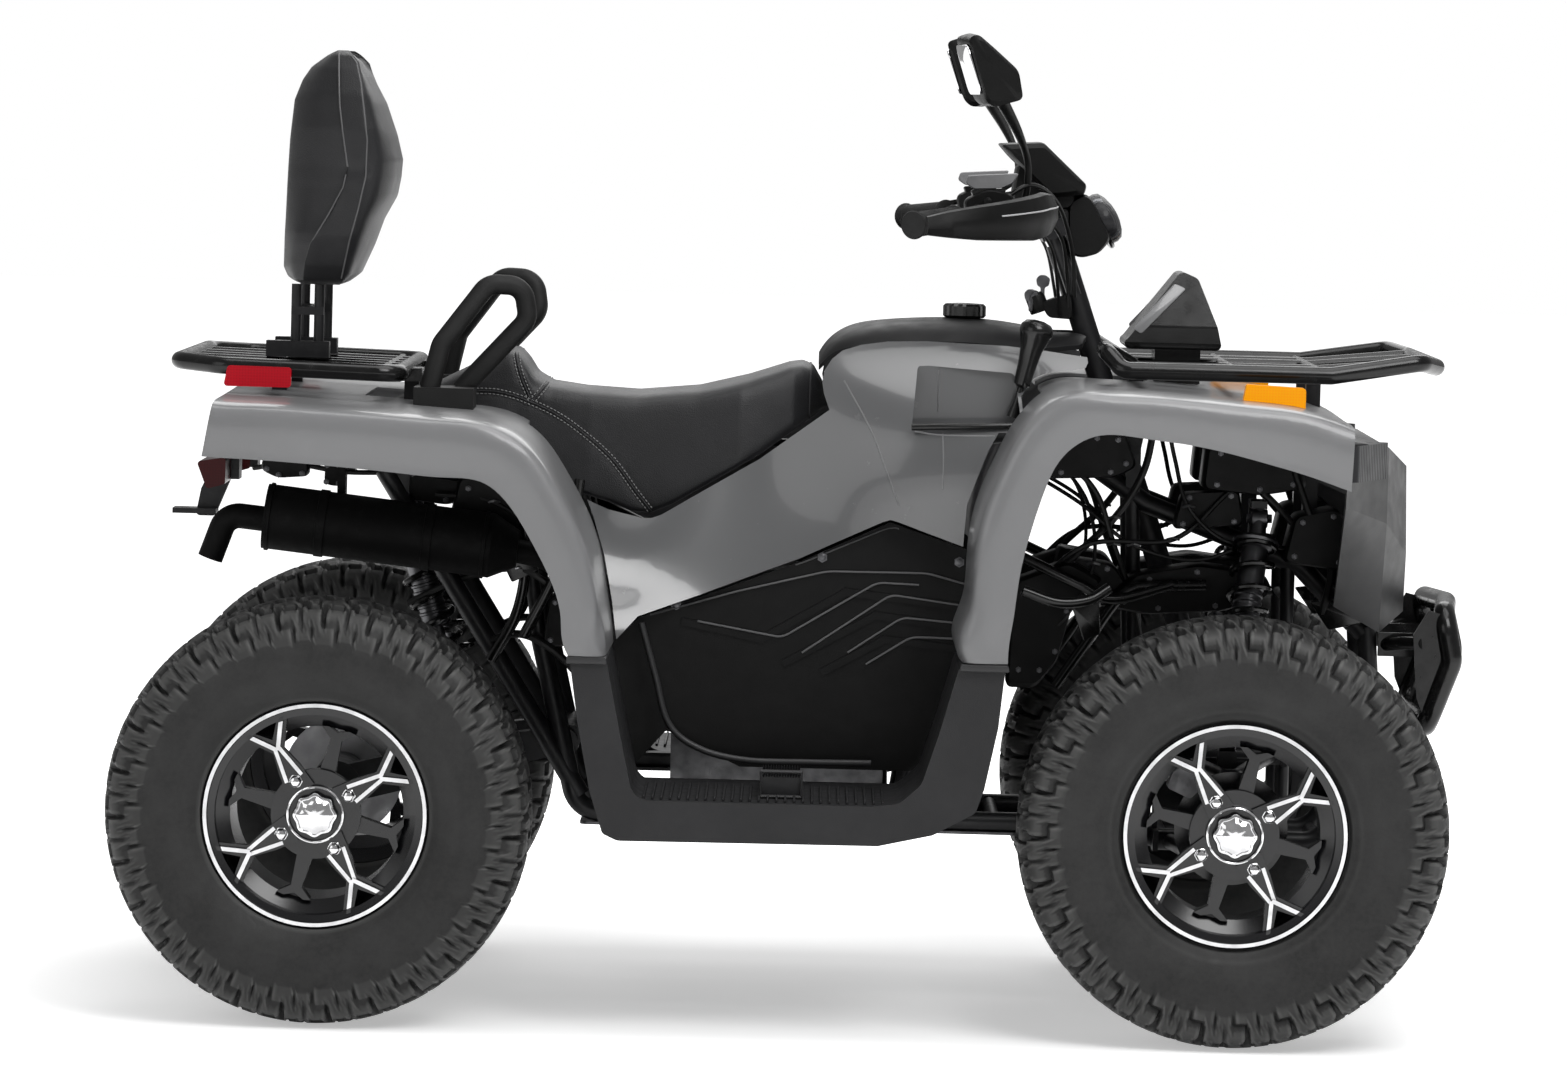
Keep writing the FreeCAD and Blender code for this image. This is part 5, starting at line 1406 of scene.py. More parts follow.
@dataclass(frozen=True)
class CoilOver:
    """A damper with a helical spring between two eyes. Metres."""

    low: Point
    high: Point
    spring_radius: float
    wire: float
    coils: float

    def spring(self) -> Shape:
        """The spring: a helix about the damper, closed up at both ends.

        Returns:
            The spring's wire.
        """
        a, b = np.array(self.low), np.array(self.high)
        x, y, z = axis_frame(b - a)
        share = np.linspace(0, 1, int(self.coils * 22))
        rise = 0.036 + (np.linalg.norm(b - a) - 0.080) * np.clip((share - 0.06) / 0.88, 0, 1)
        angle = 2 * np.pi * self.coils * share
        line = a + rise[:, None] * z + self.spring_radius * (np.cos(angle)[:, None] * x + np.sin(angle)[:, None] * y)
        return tube(line, self.wire, 8)

    def body(self) -> Shape:
        """The damper: eye, chrome rod, lower cup, ribbed body, upper cup and eye.

        Returns:
            The damper, turned in one piece.
        """
        a, b = np.array(self.low), np.array(self.high)
        length = float(np.linalg.norm(b - a))
        r = self.spring_radius
        profile = [(0.011, -0.011), (0.0125, 0.0), (0.0125, 0.014), (0.008, 0.016), (0.008, 0.024),
                   (r + 0.004, 0.026), (r + 0.0055, 0.03), (r + 0.004, 0.034), (0.0085, 0.036),
                   (0.0085, length * 0.46), (0.018, length * 0.47), (0.0205, length * 0.49)]
        for k in range(6):
            at = length * 0.52 + k * 0.011
            profile += [(0.0205, at), (0.0222, at + 0.0015), (0.0222, at + 0.0045), (0.0205, at + 0.006)]
        profile += [(0.0205, length - 0.05), (r + 0.004, length - 0.042), (r + 0.0055, length - 0.038),
                    (r + 0.003, length - 0.033), (0.014, length - 0.028), (0.0125, length - 0.012), (0.0125, length),
                    (0.011, length + 0.011)]
        return turned(profile, self.low, b - a, 28)

    def eyes(self) -> Shape:
        """The bushed eyes at both ends, with their bolts along X.

        Returns:
            Both eyes and both bolts.
        """
        pieces = []
        for place in (self.low, self.high):
            pieces.append(turned([(0.013, -0.0125), (0.0142, -0.011), (0.0142, 0.011), (0.013, 0.0125)], place,
                                 (1, 0, 0), 24))
            pieces.append(turned([(0.0075, -0.019), (0.0075, 0.019)], place, (1, 0, 0), 6))
        return merged(pieces)


@dataclass
class Dampers(Assembly):
    """The four coil-over dampers."""

    front: CoilOver = CoilOver((0.644, -0.290, 0.4353), (0.690, -0.165, 0.765), 0.030, 0.0048, 8.5)
    rear: CoilOver = CoilOver((-0.508, -0.100, 0.412), (-0.612, -0.104, 0.742), 0.029, 0.0048, 8.0)

    def build(self) -> None:
        """Makes front and rear pairs, each spring apart from its damper."""
        for name, one in (("front", self.front), ("rear", self.rear)):
            self.pair(f"{name}_damper_bodies", one.body() + one.eyes(), self.palette.dark_steel, "damper_steel",
                      (f"{name}_dampers",))
            self.pair(f"{name}_springs", one.spring(), self.palette.rack_black, "damper_steel")


def rounded(outline: tuple | list | Array, radius: float) -> Array:
    """An outline with each corner replaced by five points of a parabola that starts and ends a radius from it.

    Args:
        outline: the corners, as points of a plane.
        radius: how far from the corner the curve starts.

    Returns:
        The rounded outline.
    """
    p = np.array(outline, float)
    back, ahead = np.roll(p, 1, 0) - p, np.roll(p, -1, 0) - p
    near, far = (p + v * np.minimum(radius / np.linalg.norm(v, axis=1, keepdims=True), 0.48) for v in (back, ahead))
    t = np.linspace(0, 1, 5)[None, :, None]
    curve = near[:, None] * (1 - t) ** 2 + 2 * p[:, None] * t * (1 - t) + far[:, None] * t**2
    return curve.reshape(-1, 2)


def rounded_path(points: tuple | list, radius: float) -> Array:
    """An open line of straight runs with its inner corners rounded.

    Args:
        points: the line's corners.
        radius: how far from a corner its curve starts.

    Returns:
        The rounded line.
    """
    p = np.array(points, float)
    corner, back, ahead = p[1:-1], p[:-2] - p[1:-1], p[2:] - p[1:-1]
    near, far = (corner + v * np.minimum(radius / np.linalg.norm(v, axis=1, keepdims=True), 0.45)
                 for v in (back, ahead))
    t = np.linspace(0, 1, 6)[None, :, None]
    curve = near[:, None] * (1 - t) ** 2 + 2 * corner[:, None] * t * (1 - t) + far[:, None] * t**2
    return np.vstack([p[:1], curve.reshape(-1, 2), p[-1:]])


def pipe(points: tuple | list, radius: float | Array, count: int = 36, sides: int = 10) -> Shape:
    """A smooth round pipe or hose through points given in millimetres."""
    return tube(smooth_line(points, count) * MM, radius * MM, sides)


def slab(outline: tuple | list, y: float, depth: float, corner: float = 4.0, bevel: float = 1.2) -> Shape:
    """A plate with rounded corners and softened edges, from y outwards to the right, in millimetres."""
    return plate(rounded(outline, corner), side_plane(y), depth, bevel).scaled()


def lofted(sections: list[tuple[float, tuple | list]], corner: float) -> Shape:
    """A moulded body through side-view outlines at several widths.

    Args:
        sections: pairs of y and an outline, all with as many corners, in millimetres.
        corner: the radius at each corner.

    Returns:
        The closed body in metres.
    """
    rings = []
    for y, outline in sections:
        flat = rounded(outline, corner)
        rings.append(np.stack([flat[:, 0], np.full(len(flat), y), flat[:, 1]], -1))
    return stacked_rings(np.array(rings)).scaled()


def shrunk(outline: tuple | list, factor: float) -> Array:
    """An outline drawn towards its middle."""
    p = np.array(outline, float)
    return p.mean(0) + (p - p.mean(0)) * factor


def pillow(outline: tuple | list, low: float, high: float, corner: float, edge: float = 5.0) -> Shape:
    """A body of one outline between two widths, its ends drawn in a little like a moulding's soft edge."""
    soft = shrunk(outline, 0.93)
    return lofted([(low, soft), (low + edge, outline), (high - edge, outline), (high, soft)], corner)


@dataclass
class Mirrors(Assembly):
    """The pair of mirrors: an angular housing, its glass and a bent stalk. Millimetres."""

    body = "steering"
    near: tuple = ((222, 1476), (236, 1484), (265, 1460), (298, 1431), (306, 1389), (262, 1376), (250, 1386))
    far: tuple = ((206, 1479), (230, 1487), (266, 1462), (294, 1433), (300, 1392), (250, 1376), (236, 1387))
    glass_frame: tuple = ((-0.135, 0.991, 0.0), (-0.3036, 0.0, 0.9528), (-0.9442, -0.1286, -0.3008),
                          (227.2, -400, 1431.4))
    glass_half: tuple = (54, 38)
    stalk: tuple = ((316, -236, 1226), (322, -244, 1262), (320, -256, 1300), (304, -300, 1340), (276, -356, 1388))

    def build(self) -> None:
        """Makes both mirrors with their glasses and stalks."""
        housing = lofted([(-462, shrunk(self.near, 0.86)), (-456, self.near), (-343, self.far),
                          (-337, shrunk(self.far, 0.86))], 9)
        wide, tall = self.glass_half
        flat = rounded(((-wide, -tall), (wide, -tall), (wide, tall), (-wide, tall)), 16)
        glass = plate(flat, np.array(self.glass_frame), 3.0, 0.8).scaled()
        arm = pipe(self.stalk, np.interp(np.linspace(0, 1, 36), [0, 0.62, 1], [5.5, 5.5, 10]))
        nut = turned([(9, -6), (10, 0), (10, 12), (7, 16)], self.stalk[0], (0, 0, 1), 6).scaled()
        self.pair("mirror_housings", housing + arm + nut, self.palette.moulded, "trim_black", ("mirrors",))
        self.pair("mirror_glasses", glass, self.palette.mirror)


@dataclass
class Cockpit(Assembly):
    """Everything on the handlebar besides the mirrors. Millimetres."""

    body = "steering"
    visor: tuple = ((282, 1322), (350, 1326), (419, 1262), (415, 1246), (368, 1240), (300, 1302))
    housing: tuple = ((304, 1232), (312, 1292), (346, 1296), (404, 1246), (398, 1226), (340, 1222))
    switch_box: tuple = ((226, 1238), (262, 1254), (300, 1248), (304, 1214), (270, 1190), (232, 1196))
    switch_knobs: tuple = ((246, 1226), (262, 1236), (278, 1226))
    bar_clamp: tuple = ((322, 1214), (334, 1246), (360, 1250), (366, 1216))
    reservoir: tuple = ((236, 1252), (290, 1256), (284, 1236), (242, 1234))
    lid: tuple = ((228, 1262), (232, 1274), (308, 1279), (300, 1264), (282, 1256), (240, 1254))
    guard_path: tuple = ((352, -218), (350, -270), (334, -330), (300, -385), (255, -428), (205, -455), (168, -462))
    guard_section: tuple = ((0, 1.0), (9, 0.9), (16.5, 0.3), (17.5, -0.3), (9, -0.92), (0, -1.0), (-3, -0.7),
                            (2, -0.2), (2, 0.3), (-3, 0.8))
    guard_stations: int = 48
    guard_brace: tuple = ((330, -222, 1210), (344, -226, 1212), (352, -232, 1216))
    grip_ends: tuple = ((150.0, -418.0, 1200.0), (212.0, -308.0, 1209.0))
    rib_pitch: float = 5.0
    lever: tuple = ((300, -250, 1216), (282, -290, 1212), (254, -340, 1206), (222, -388, 1200), (204, -414, 1196))
    lever_radii: tuple = ((0, 7), (0.1, 5), (0.9, 4.5), (0.96, 7), (1, 3))
    lamp_shell: tuple = ((392, 1236), (416, 1250), (428, 1240), (458, 1180), (440, 1158), (412, 1150), (392, 1158))
    lamp_dome: tuple = ((40, -14), (41, 0), (38, 8), (28, 14), (14, 18), (5, 19))
    lamp_place: Point = (450, 0, 1212)
    lamp_way: Point = (0.862, 0, 0.507)
    lamp_widening: float = 1.4
    post: tuple = ((362, -40, 1208), (384, -40, 1150), (405, -40, 1092))
    post_clamp: tuple = ((350, 1196), (356, 1222), (392, 1226), (396, 1200))
    post_bolts: tuple = ((0.364, -0.034, 1.224), (0.382, -0.034, 1.225), (0.364, -0.052, 1.224),
                         (0.382, -0.052, 1.225))
    lock_barrel: tuple = ((14, 0), (15, 2), (15, 26), (12, 30))
    lock_block: tuple = ((352, 1080), (374, 1089), (399, 1094), (402, 1056), (366, 1058))
    key_outline: tuple = ((-4, -26), (3, -26), (3, -9), (10, -6), (12, 6), (4, 12), (-6, 12), (-12, 5), (-10, -6),
                          (-4, -9))
    key_places: tuple = ((356, 1112, -50), (338, 1090, -58))
    key_ring: tuple = ((352, -56, 1094), (343, -62, 1098), (336, -62, 1090), (342, -60, 1078), (352, -56, 1080))
    hoses: tuple = ((3.4, ((286, -262, 1240), (330, -240, 1262), (372, -170, 1232), (398, -90, 1160),
                           (404, -60, 1090))),
                    (3.0, ((290, -256, 1232), (346, -200, 1214), (380, -120, 1180), (392, -70, 1120),
                           (396, -56, 1070))),
                    (2.6, ((296, -270, 1226), (340, -230, 1196), (366, -150, 1160), (378, -84, 1100),
                           (384, -60, 1060))))

    def build(self) -> None:
        """Makes the instruments, the controls, the lamp and what stands on the column, in this order."""
        self.build_instruments()
        self.build_controls()
        self.build_lamp()
        self.build_mounts()

    def guard_rings(self) -> Array:
        """A hand guard: a faceted section carried round in front of the grip, lower and thinner at its end.

        Returns:
            Points in millimetres as (station, point round the section, xyz).
        """
        path = smooth_line(self.guard_path, self.guard_stations)
        ahead = unit(np.gradient(path, axis=0))
        out = np.stack([-ahead[:, 1], ahead[:, 0]], -1)
        share = np.linspace(0, 1, self.guard_stations)
        high = np.interp(share, [0, 0.1, 0.3, 0.7, 1], [1240, 1250, 1252, 1232, 1214])
        low = np.interp(share, [0, 0.15, 0.35, 0.7, 1], [1206, 1190, 1180, 1180, 1186])
        swell, rise = np.array(self.guard_section).T
        lift = (high + low)[:, None] / 2 + (high - low)[:, None] / 2 * rise
        x = path[:, :1] + out[:, :1] * swell
        y = path[:, 1:] + out[:, 1:] * swell
        return np.stack([x, y, lift], -1)

    def grip(self) -> Shape:
        """A ribbed rubber grip with a flange at each end.

        Returns:
            The right grip.
        """
        a, b = np.array(self.grip_ends)
        length = float(np.linalg.norm(b - a))
        at = np.arange(6.0, length - 8.0, self.rib_pitch)
        ribs = [pair for s in at for pair in ((17.4, s), (18.6, s + 1.0), (18.6, s + 2.6), (17.4, s + 3.6))]
        profile = [(10, -3), (20, -2), (21.5, 1), (20, 4)] + ribs
        profile += [(20.5, length - 4), (21, length), (12, length + 2)]
        return turned(profile, a, b - a, 28).scaled()

    def build_instruments(self) -> None:
        """Makes the visor over its housing, the switches with their clamps and knobs, and the brake fluid's cups."""
        p = self.palette
        visor = lofted([(-94, shrunk(self.visor, 0.8)), (-86, shrunk(self.visor, 0.96)), (-50, self.visor),
                        (50, self.visor), (86, shrunk(self.visor, 0.96)), (94, shrunk(self.visor, 0.8))], 6)
        self.add("instrument_housing", visor + pillow(self.housing, -70, 70, 10, 8), p.moulded,
                 replaced=("bar_cowl",))
        switches = pillow(self.switch_box, -292, -232, 10, 6)
        clamp = pillow(self.bar_clamp, -62, -30, 8, 4)
        knobs = merged([turned([(6, 0), (6, 5), (4, 6)], (x, -292, z), (0, -1, 0), 16).scaled()
                        for x, z in self.switch_knobs])
        self.pair("switch_boxes", switches + clamp + knobs, p.moulded)
        self.pair("reservoir_lids", pillow(self.lid, -276, -236, 4, 3), p.pale_plastic)
        self.pair("reservoirs", pillow(self.reservoir, -272, -240, 5, 3), p.gloss_black)

    def build_controls(self) -> None:
        """Makes the hand guards with a pale tube along each as a painted highlight, the grips and the brake levers."""
        p = self.palette
        guard = stacked_rings(self.guard_rings()).scaled() + pipe(self.guard_brace, 7)
        self.pair("hand_guard_shells", guard, p.moulded, "moulded_black", ("hand_guards",))
        # A pale tube along each guard's upper face: a painted highlight.
        highlight_line = tube(self.guard_rings()[3:30, 2] * MM, 0.0013, 8)
        self.pair("hand_guard_highlight_lines", highlight_line, p.pale, "moulded_black")
        self.pair("grips", self.grip(), p.rubber, "grip_rubber")
        lever = pipe(self.lever, np.interp(np.linspace(0, 1, 36), *np.array(self.lever_radii).T))
        self.pair("brake_levers", lever, p.gloss_black)

    def build_lamp(self) -> None:
        """Makes the bar lamp: its shell, a domed glass wider than tall, and the bezel round it."""
        p = self.palette
        self.add("lamp_shell", pillow(self.lamp_shell, -66, 66, 10, 8), p.moulded)
        dome = turned(self.lamp_dome, self.lamp_place, self.lamp_way, 40)
        dome.points[:, 1] *= self.lamp_widening
        self.add("lamp_glass", dome.scaled(), p.lens, "lamp_clear", ("bar_lamp",))
        turn = np.linspace(0, 2 * np.pi, 60, endpoint=False)
        bezel = np.stack([440 - 21.6 * np.sin(turn), 59 * np.cos(turn), 1206 + 36.6 * np.sin(turn)], -1) * MM
        self.add("lamp_bezel", tube(bezel, 0.0045, 8, True), p.gloss_black)

    def build_mounts(self) -> None:
        """Makes the posts under the bar with their clamps and bolts, the lock, its keys and the hoses."""
        p = self.palette
        bolts = hex_bolts(list(self.post_bolts), (0, 0, 1), 0.0055, 0.007)
        posts = pipe(self.post, 11) + pillow(self.post_clamp, -58, -24, 7, 4) + bolts
        self.pair("bar_posts", posts, p.frame_black)
        lock = turned(self.lock_barrel, (353, -48, 1066), (-0.35, 0, 0.94), 24).scaled()
        keys = merged([slab(np.array(self.key_outline) * 0.9 + (x, z), y, 4, 3) for x, z, y in self.key_places])
        self.add("ignition_lock", lock + pillow(self.lock_block, -60, -26, 6, 4), p.moulded)
        self.add("keys", keys + pipe(self.key_ring, 1.4), p.dark_steel, "plate_steel")
        hoses = merged([pipe(line, radius) for radius, line in self.hoses])
        self.pair("control_hoses", hoses, p.hose)


def on_surface(node: bpy.types.Object, line: Array, lift: float) -> Array:
    """Carries side-view points onto the right side of a solid by a ray along Y, leaving out the points that miss it.

    Args:
        node: the solid.
        line: points as (x, z), in millimetres.
        lift: how far outside the surface, in millimetres.

    Returns:
        Points in metres.
    """
    back = node.matrix_world.inverted()
    points = []
    for x, z in np.asarray(line, float) * MM:
        hit, place, _, _ = node.ray_cast(back @ Vector((x, -0.7, z)), back.to_3x3() @ Vector((0.0, 1.0, 0.0)))
        if hit:
            points.append((x, (node.matrix_world @ place).y - lift * MM, z))
    return np.array(points)


@dataclass
class BodyTrim(Assembly):
    """Edges, creases, lips, clips and collars on the body, with its gear selector and filler cap. Millimetres."""

    nodes: dict
    chevrons: tuple = (((-229, 599), (-100, 637), (37, 671), (188, 672), (250, 656)),
                       ((-157, 591), (-29, 569), (113, 656), (176, 654)), ((2, 547), (134, 638), (247, 624)),
                       ((71, 549), (152, 604), (245, 597)), ((99, 532), (166, 575), (245, 574)))
    cover_rim: tuple = ((-100, 650), (0, 683), (132, 741), (242, 713))
    clips: tuple = ((-190, 615), (29, 692), (236, 690), (-262, 400), (250, 520))
    creases: tuple = (((198, 978), (198, 950), (198, 916)), ((205, 885), (207, 845), (207, 803)),
                      ((163, 887), (204, 883), (300, 884)), ((55, 958), (98, 885), (124, 822), (142, 776)))
    tray_lip: tuple = ((158, -258, 894), (200, -262, 896), (260, -262, 898), (334, -256, 901))
    selector: tuple = ((10, -2), (9, 6), (6, 18), (5, 44), (12.5, 49), (13, 54), (14.5, 80), (17, 104), (22, 120),
                       (25.5, 130), (25, 139), (19, 146), (7, 149))
    selector_foot: Point = (311, -215, 913)
    selector_way: Point = (35, 0, 143)
    cap: tuple = ((0.017, 0.0), (0.017, 0.34), (0.029, 0.36), (0.0325, 0.46), (0.0325, 0.86), (0.029, 0.96),
                  (0.012, 0.99))
    collars: tuple = (("front_fender", ((233, 553), (306, 553), (304, 563), (234, 563))),
                      ("rear_fender", ((-343, 549), (-283, 549), (-284, 559), (-342, 559))))
    strip: tuple = ((-241, -262, 589), (-218, -262, 510), (-196, -262, 438), (-150, -262, 402), (-80, -262, 386),
                    (16, -262, 385), (110, -262, 386))
    foot_frame: tuple = ((-54, -474, 353), (6, -474, 353), (6, -474, 390), (-54, -474, 390))
    rib: tuple = ((-2, 350), (2, 350), (1.4, 355), (-1.4, 355))
    rib_pitch: float = 13.0
    pod_panel: tuple = ((494, 1046), (556, 1116), (574, 1108), (506, 1038))

    @staticmethod
    def on_cover(line: Array, lift: float) -> Array:
        """Carries side-view points onto the engine cover's gently curved face.

        Args:
            line: points as (x, z), in millimetres.
            lift: how far outside the face.

        Returns:
            Points in millimetres.
        """
        z = line[:, 1]
        y = (-226 + np.interp(z, [360, 450, 560, 650, 760], [0, 2, 6, 8, 10])
             + np.interp(line[:, 0], [-320, -200, -60, 80, 200, 330], [-20, -6, 0, 0, 0, 4]) - lift)
        return np.stack([line[:, 0], y, z], -1)

    def build(self) -> None:
        """Makes the side's edges and creases, then what stands on top, then what lies low."""
        self.build_side()
        self.build_top()
        self.build_low()

    def build_side(self) -> None:
        """Makes the engine covers' edges and clips, and the tank's creases; edges and creases are coloured lighter than
        the surface under them as a painted highlight.
        """
        p = self.palette
        # The edge lines are lighter than the black cover: a painted highlight.
        edges = [tube(self.on_cover(rounded_path(line, 12), 0.2) * MM, 0.0017, 6) for line in self.chevrons]
        rim = on_surface(self.nodes["engine_cover_right"], rounded_path(self.cover_rim, 12), 0.3)
        self.pair("cover_edge_highlights", merged(edges + [tube(rim, 0.0013, 6)]), p.piping, "moulded_black")
        # Ridges in the lighter mudguard paint on the darker side cover: a painted highlight along the creases.
        ridges = [on_surface(self.nodes["side_cover_right"], smooth_line(line, 60), -0.4) for line in self.creases]
        creases = merged([tube(line, 0.0014, 6) for line in ridges if len(line) > 3])
        self.pair("tank_crease_highlights", creases, p.flare, "body_grey")
        heads = self.on_cover(np.array(self.clips, float), -1.0) * MM
        self.pair("cover_clips", hex_bolts(heads, (0, -1, 0), 0.006, 0.005), p.dark_steel, "plate_steel")

    def build_top(self) -> None:
        """Makes the tray's lips, the gear selector and the lobed filler cap, which is as tall as its solid."""
        p = self.palette
        self.pair("tray_lips", pipe(self.tray_lip, 5.5), p.gloss_black)
        selector = turned(self.selector, self.selector_foot, self.selector_way, 32).scaled()
        self.add("gear_selector", selector, p.gloss_black, "trim_black", ("gear_lever",))
        low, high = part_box("fuel_cap")
        tall, middle = high.z - low.z, ((low.x + high.x) / 2, (low.y + high.y) / 2, low.z)
        cap = turned([(radius, tall * share) for radius, share in self.cap], middle, (0, 0, 1), 72, 0.035, 9)
        self.add("fuel_filler_cap", cap, p.gloss_black, "trim_black", ("fuel_cap",))

    def build_low(self) -> None:
        """Makes the mudguards' collars, the footwells' strips and ribs, and the front pod's panels."""
        p = self.palette
        collars = merged([slab(outline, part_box(name)[0].y / MM + 60, 61.0, 3, 1.5) for name, outline in self.collars])
        self.pair("mudguard_collars", collars, p.dark_panel, "moulded_black")
        strips = pipe(self.strip, 5.0, 60) + tube(np.array(self.foot_frame) * MM, 0.0035, 8, True)
        self.pair("footwell_strips", strips, p.dark_panel, "moulded_black")
        xs = np.arange(-225.0, 130.0, self.rib_pitch) * MM
        n = len(xs)
        ribs = scattered(slab(self.rib, -300, 235, 0.4, 0.4), np.stack([xs, 0 * xs, 0 * xs], -1),
                         np.tile([1.0, 0, 0], (n, 1)), np.tile([0, 1.0, 0], (n, 1)), np.tile([0, 0, 1.0], (n, 1)))
        self.pair("footwell_ribs", ribs, p.guard, "moulded_black")
        face = np.array([[1, 0, 0], [0, 0.28, 1], [0, -1, 0], [0, -386.9, 0]], float)
        panel = plate(rounded(self.pod_panel, 5), face, 2.4, 0.8).scaled()
        self.pair("pod_panels", panel, p.flare, "body_grey")


@dataclass
class Underside(Assembly):
    """Pipes, hoses and housings seen through the wheel arches. Millimetres."""

    stays: tuple = (((386, -205, 505), (431, -205, 572), (475, -205, 637), (504, -205, 658), (538, -205, 661),
                     (610, -205, 664)),
                    ((327, -400, 662), (379, -396, 646), (425, -390, 650), (456, -380, 668)),
                    ((330, -210, 700), (420, -214, 660), (470, -214, 640), (560, -206, 664)),
                    ((-420, -205, 560), (-380, -210, 640), (-350, -214, 720), (-340, -214, 800)),
                    ((-470, -170, 520), (-430, -180, 600), (-420, -190, 700), (-440, -190, 800)))
    hoses: tuple = (((330, -160, 600), (400, -180, 690), (470, -170, 760), (512, -164, 830), (528, -160, 905)),
                    ((340, -150, 640), (430, -190, 720), (560, -170, 730), (640, -150, 800), (700, -140, 850)),
                    ((350, -120, 820), (420, -170, 780), (500, -180, 720), (600, -170, 700), (700, -170, 740)),
                    ((380, -180, 860), (440, -186, 800), (470, -180, 720), (500, -160, 640), (520, -140, 560)),
                    ((548, -160, 905), (560, -164, 850), (582, -176, 780), (640, -180, 730), (730, -150, 720),
                     (800, -150, 700)),
                    ((620, -130, 860), (700, -176, 800), (760, -170, 740), (820, -150, 700), (850, -150, 640)),
                    ((740, -180, 840), (770, -190, 760), (800, -180, 700), (790, -160, 620)),
                    ((350, -170, 560), (400, -190, 610), (440, -180, 690), (430, -160, 780), (380, -140, 850)),
                    ((-300, -170, 560), (-360, -190, 620), (-430, -190, 660), (-520, -150, 640), (-600, -120, 600)),
                    ((-300, -150, 620), (-380, -180, 700), (-470, -180, 760), (-560, -170, 770)),
                    ((-320, -140, 480), (-380, -170, 540), (-440, -170, 560), (-520, -130, 520)),
                    ((-620, -150, 800), (-700, -170, 800), (-780, -160, 810), (-840, -130, 800)))
    housings: tuple = ((((448, 628), (500, 676), (600, 694), (700, 682), (716, 650), (640, 624), (520, 616)),
                        -190, -84),
                       (((726, 700), (742, 772), (806, 786), (836, 742), (820, 690)), -196, -90),
                       (((366, 818), (374, 876), (440, 892), (484, 890), (502, 840), (470, 822)), -190, -120),
                       (((560, 744), (572, 800), (660, 806), (668, 752)), -150, -96),
                       (((600, 808), (606, 874), (700, 866), (752, 858), (760, 812), (690, 800)), -180, -80),
                       (((312, 500), (318, 662), (404, 696), (456, 668), (410, 626), (388, 540), (356, 500)),
                        -190, -110),
                       (((384, 650), (396, 700), (470, 690), (500, 650), (452, 632)), -170, -90),
                       (((-620, 760), (-612, 806), (-520, 806), (-500, 772), (-540, 752)), -150, -60),
                       (((-420, 690), (-408, 770), (-330, 776), (-312, 700)), -180, -60),
                       (((-392, 540), (-384, 620), (-316, 628), (-306, 548)), -170, -90),
                       (((-540, 724), (-524, 800), (-440, 796), (-412, 740), (-424, 664), (-496, 656)), -182, -144),
                       (((-826, 800), (-820, 829), (-756, 829), (-751, 792), (-800, 788)), -182, -140),
                       (((-729, 780), (-728, 815), (-703, 815), (-703, 777)), -180, -150))
    plates: tuple = ((((404, 633), (444, 651), (448, 594), (423, 582)), -300),
                     (((770, 640), (846, 650), (850, 610), (800, 598)), -160),
                     (((-470, 700), (-420, 720), (-400, 660), (-440, 640)), -190))
    hose_radii: tuple = (5.5, 4.0, 3.2, 4.5, 3.4, 5.0, 6.0, 3.0, 5.0, 4.0, 6.0, 4.0)

    def build(self) -> None:
        """Makes the pipes, the hoses with their clips, and the boxes behind them with their bolts."""
        p = self.palette
        stays = merged([pipe(line, 8.5, 48) for line in self.stays])
        plates = merged([slab(outline, y, 6) for outline, y in self.plates])
        self.pair("arch_stays", stays + plates, p.rack_black, "frame_black")
        hoses = merged([pipe(line, r, 48, 8) for line, r in zip(self.hoses, self.hose_radii)])
        self.pair("arch_hoses", hoses, p.hose)
        clips = merged([tube(np.array([(x - 9, y, z), (x, y - 9, z + 3), (x + 9, y, z)]) * MM, 0.0022, 8)
                        for x, y, z in (line[2] for line in self.hoses)])
        self.pair("hose_clips", clips, p.steel, "plate_steel")
        boxes = merged([pillow(outline, low, high, 10, 8) for outline, low, high in self.housings])
        self.pair("arch_housings", boxes, p.moulded)
        heads = [(x * MM, (low - 1) * MM, z * MM) for outline, low, _ in self.housings
                 for x, z in shrunk(outline, 0.72).tolist()]
        bolts = hex_bolts(heads, (0, -1, 0), 0.0035, 0.004)
        self.pair("housing_bolts", bolts, p.dark_steel, "plate_steel")


@dataclass
class Exhaust(Assembly):
    """Bands and rolled rims on the silencer. Millimetres."""

    start: Point = (-812, -236, 734)
    end: Point = (-470, -236, 698)
    radius: float = 49.0
    bands: tuple = ((0.02, 8, 2.5), (0.25, 16, 2.0), (0.72, 16, 2.0), (0.97, 8, 2.5))

    def build(self) -> None:
        """Makes two bands round the silencer and a rolled rim at each end, by share of its length, width and lift."""
        a, b = np.array(self.start, float), np.array(self.end, float)
        r = self.radius
        rings = []
        for share, width, lift in self.bands:
            at = a + (b - a) * share
            rings.append(turned([(r - 4, -width / 2), (r + lift, -width / 2 + 1.5), (r + lift, width / 2 - 1.5),
                                 (r - 4, width / 2)], at, b - a, 48).scaled())
        self.add("silencer_bands", merged(rings), self.palette.exhaust, "exhaust_black")


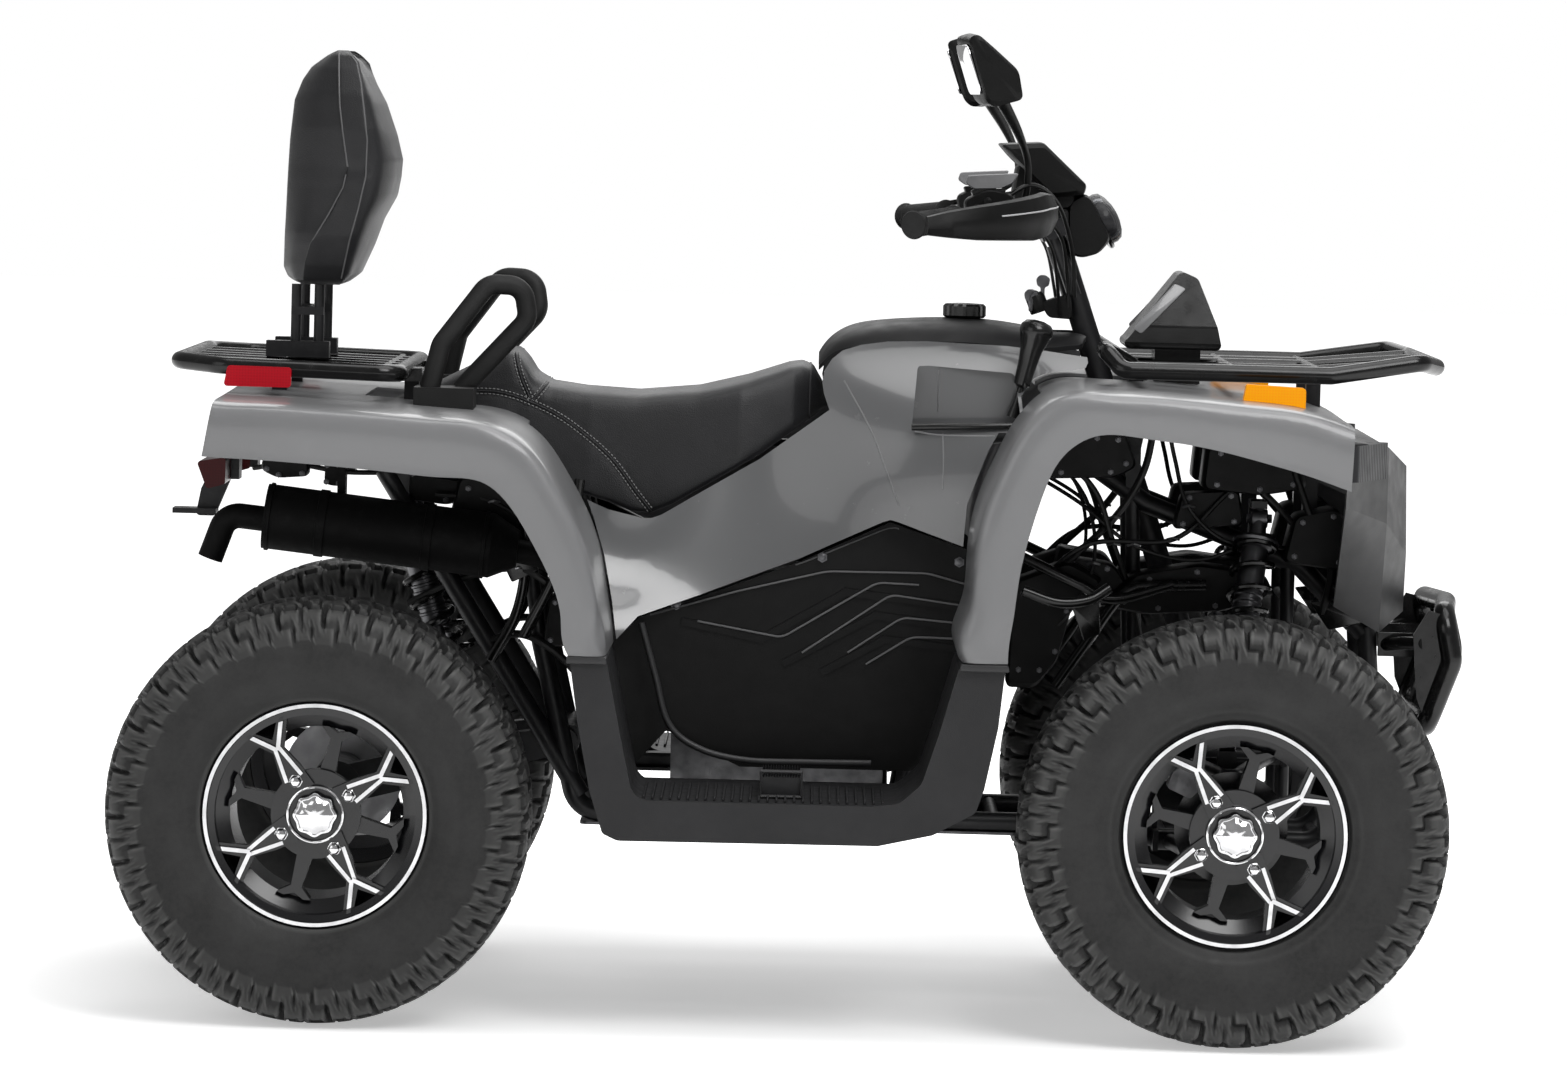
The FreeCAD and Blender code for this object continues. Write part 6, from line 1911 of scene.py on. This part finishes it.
@dataclass
class QuadBike:
    """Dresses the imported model's own solids."""

    nodes: dict
    palette: Palette

    def build(self) -> None:
        """Gives each carried-over solid its finish."""
        p = self.palette
        finishes = {
            p.frame_black: ("frame", "swingarm", "front_arms", "steering_column", "hitch", "foot_rests",
                            "backrest_frame"),
            p.rack_black: ("front_rack", "rear_rack", "bumper", "handlebar"),
            p.paint: ("side_cover_right", "side_cover_left"),
            p.flare: ("front_fender", "rear_fender"),
            p.gloss_black: ("front_pod", "bar_cowl", "mirrors", "gear_lever"),
            p.tank_black: ("tank_cover", "fuel_cap"),
            p.moulded: ("engine_cover_right", "engine_cover_left", "hand_guards"),
            p.guard: ("footwell_right", "footwell_left"),
            p.dark_panel: ("front_cowl",),
            p.vinyl: ("seat", "backrest"),
            p.rubber: ("grab_handles",),
            p.steel: ("tie_rod_right", "tie_rod_left", "rear_axle"),
            p.dark_steel: ("skid_plate", "front_dampers", "rear_dampers"),
            p.cast: ("engine", "knuckle_right", "knuckle_left"),
            p.exhaust: ("exhaust",),
            p.tyre: ("tyre_front_right", "tyre_front_left", "tyres_rear"),
            p.wheel: ("wheel_front_right", "wheel_front_left", "wheels_rear"),
            p.amber: ("front_reflectors",),
            p.red: ("rear_reflectors",),
            p.tail_red: ("tail_lamps",),
            p.lens: ("headlamps", "bar_lamp"),
        }
        for material, names in finishes.items():
            for name in names:
                slots = self.nodes[name].data.materials
                slots.clear()
                slots.append(material)
            log.info("%s on %s", material.name, ", ".join(names))


def write_sizes() -> None:
    """Updates the view layer.
    """
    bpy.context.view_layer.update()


def main() -> None:
    """Builds the studio, the finishes and every piece in order."""
    logging.basicConfig(level=logging.INFO, format="%(message)s")
    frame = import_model()
    bpy.context.scene.view_settings.view_transform = "Standard"
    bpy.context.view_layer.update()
    Studio().build()
    palette = Palette()
    for part in (QuadBike(frame["nodes"], palette), Tyres(palette), Hubs(palette), Seat(palette), Backrest(palette),
                 Dampers(palette), Mirrors(palette), Cockpit(palette), BodyTrim(palette, frame["nodes"]),
                 Underside(palette), Exhaust(palette)):
        part.build()
    write_sizes()


if __name__ == "__main__":
    main()
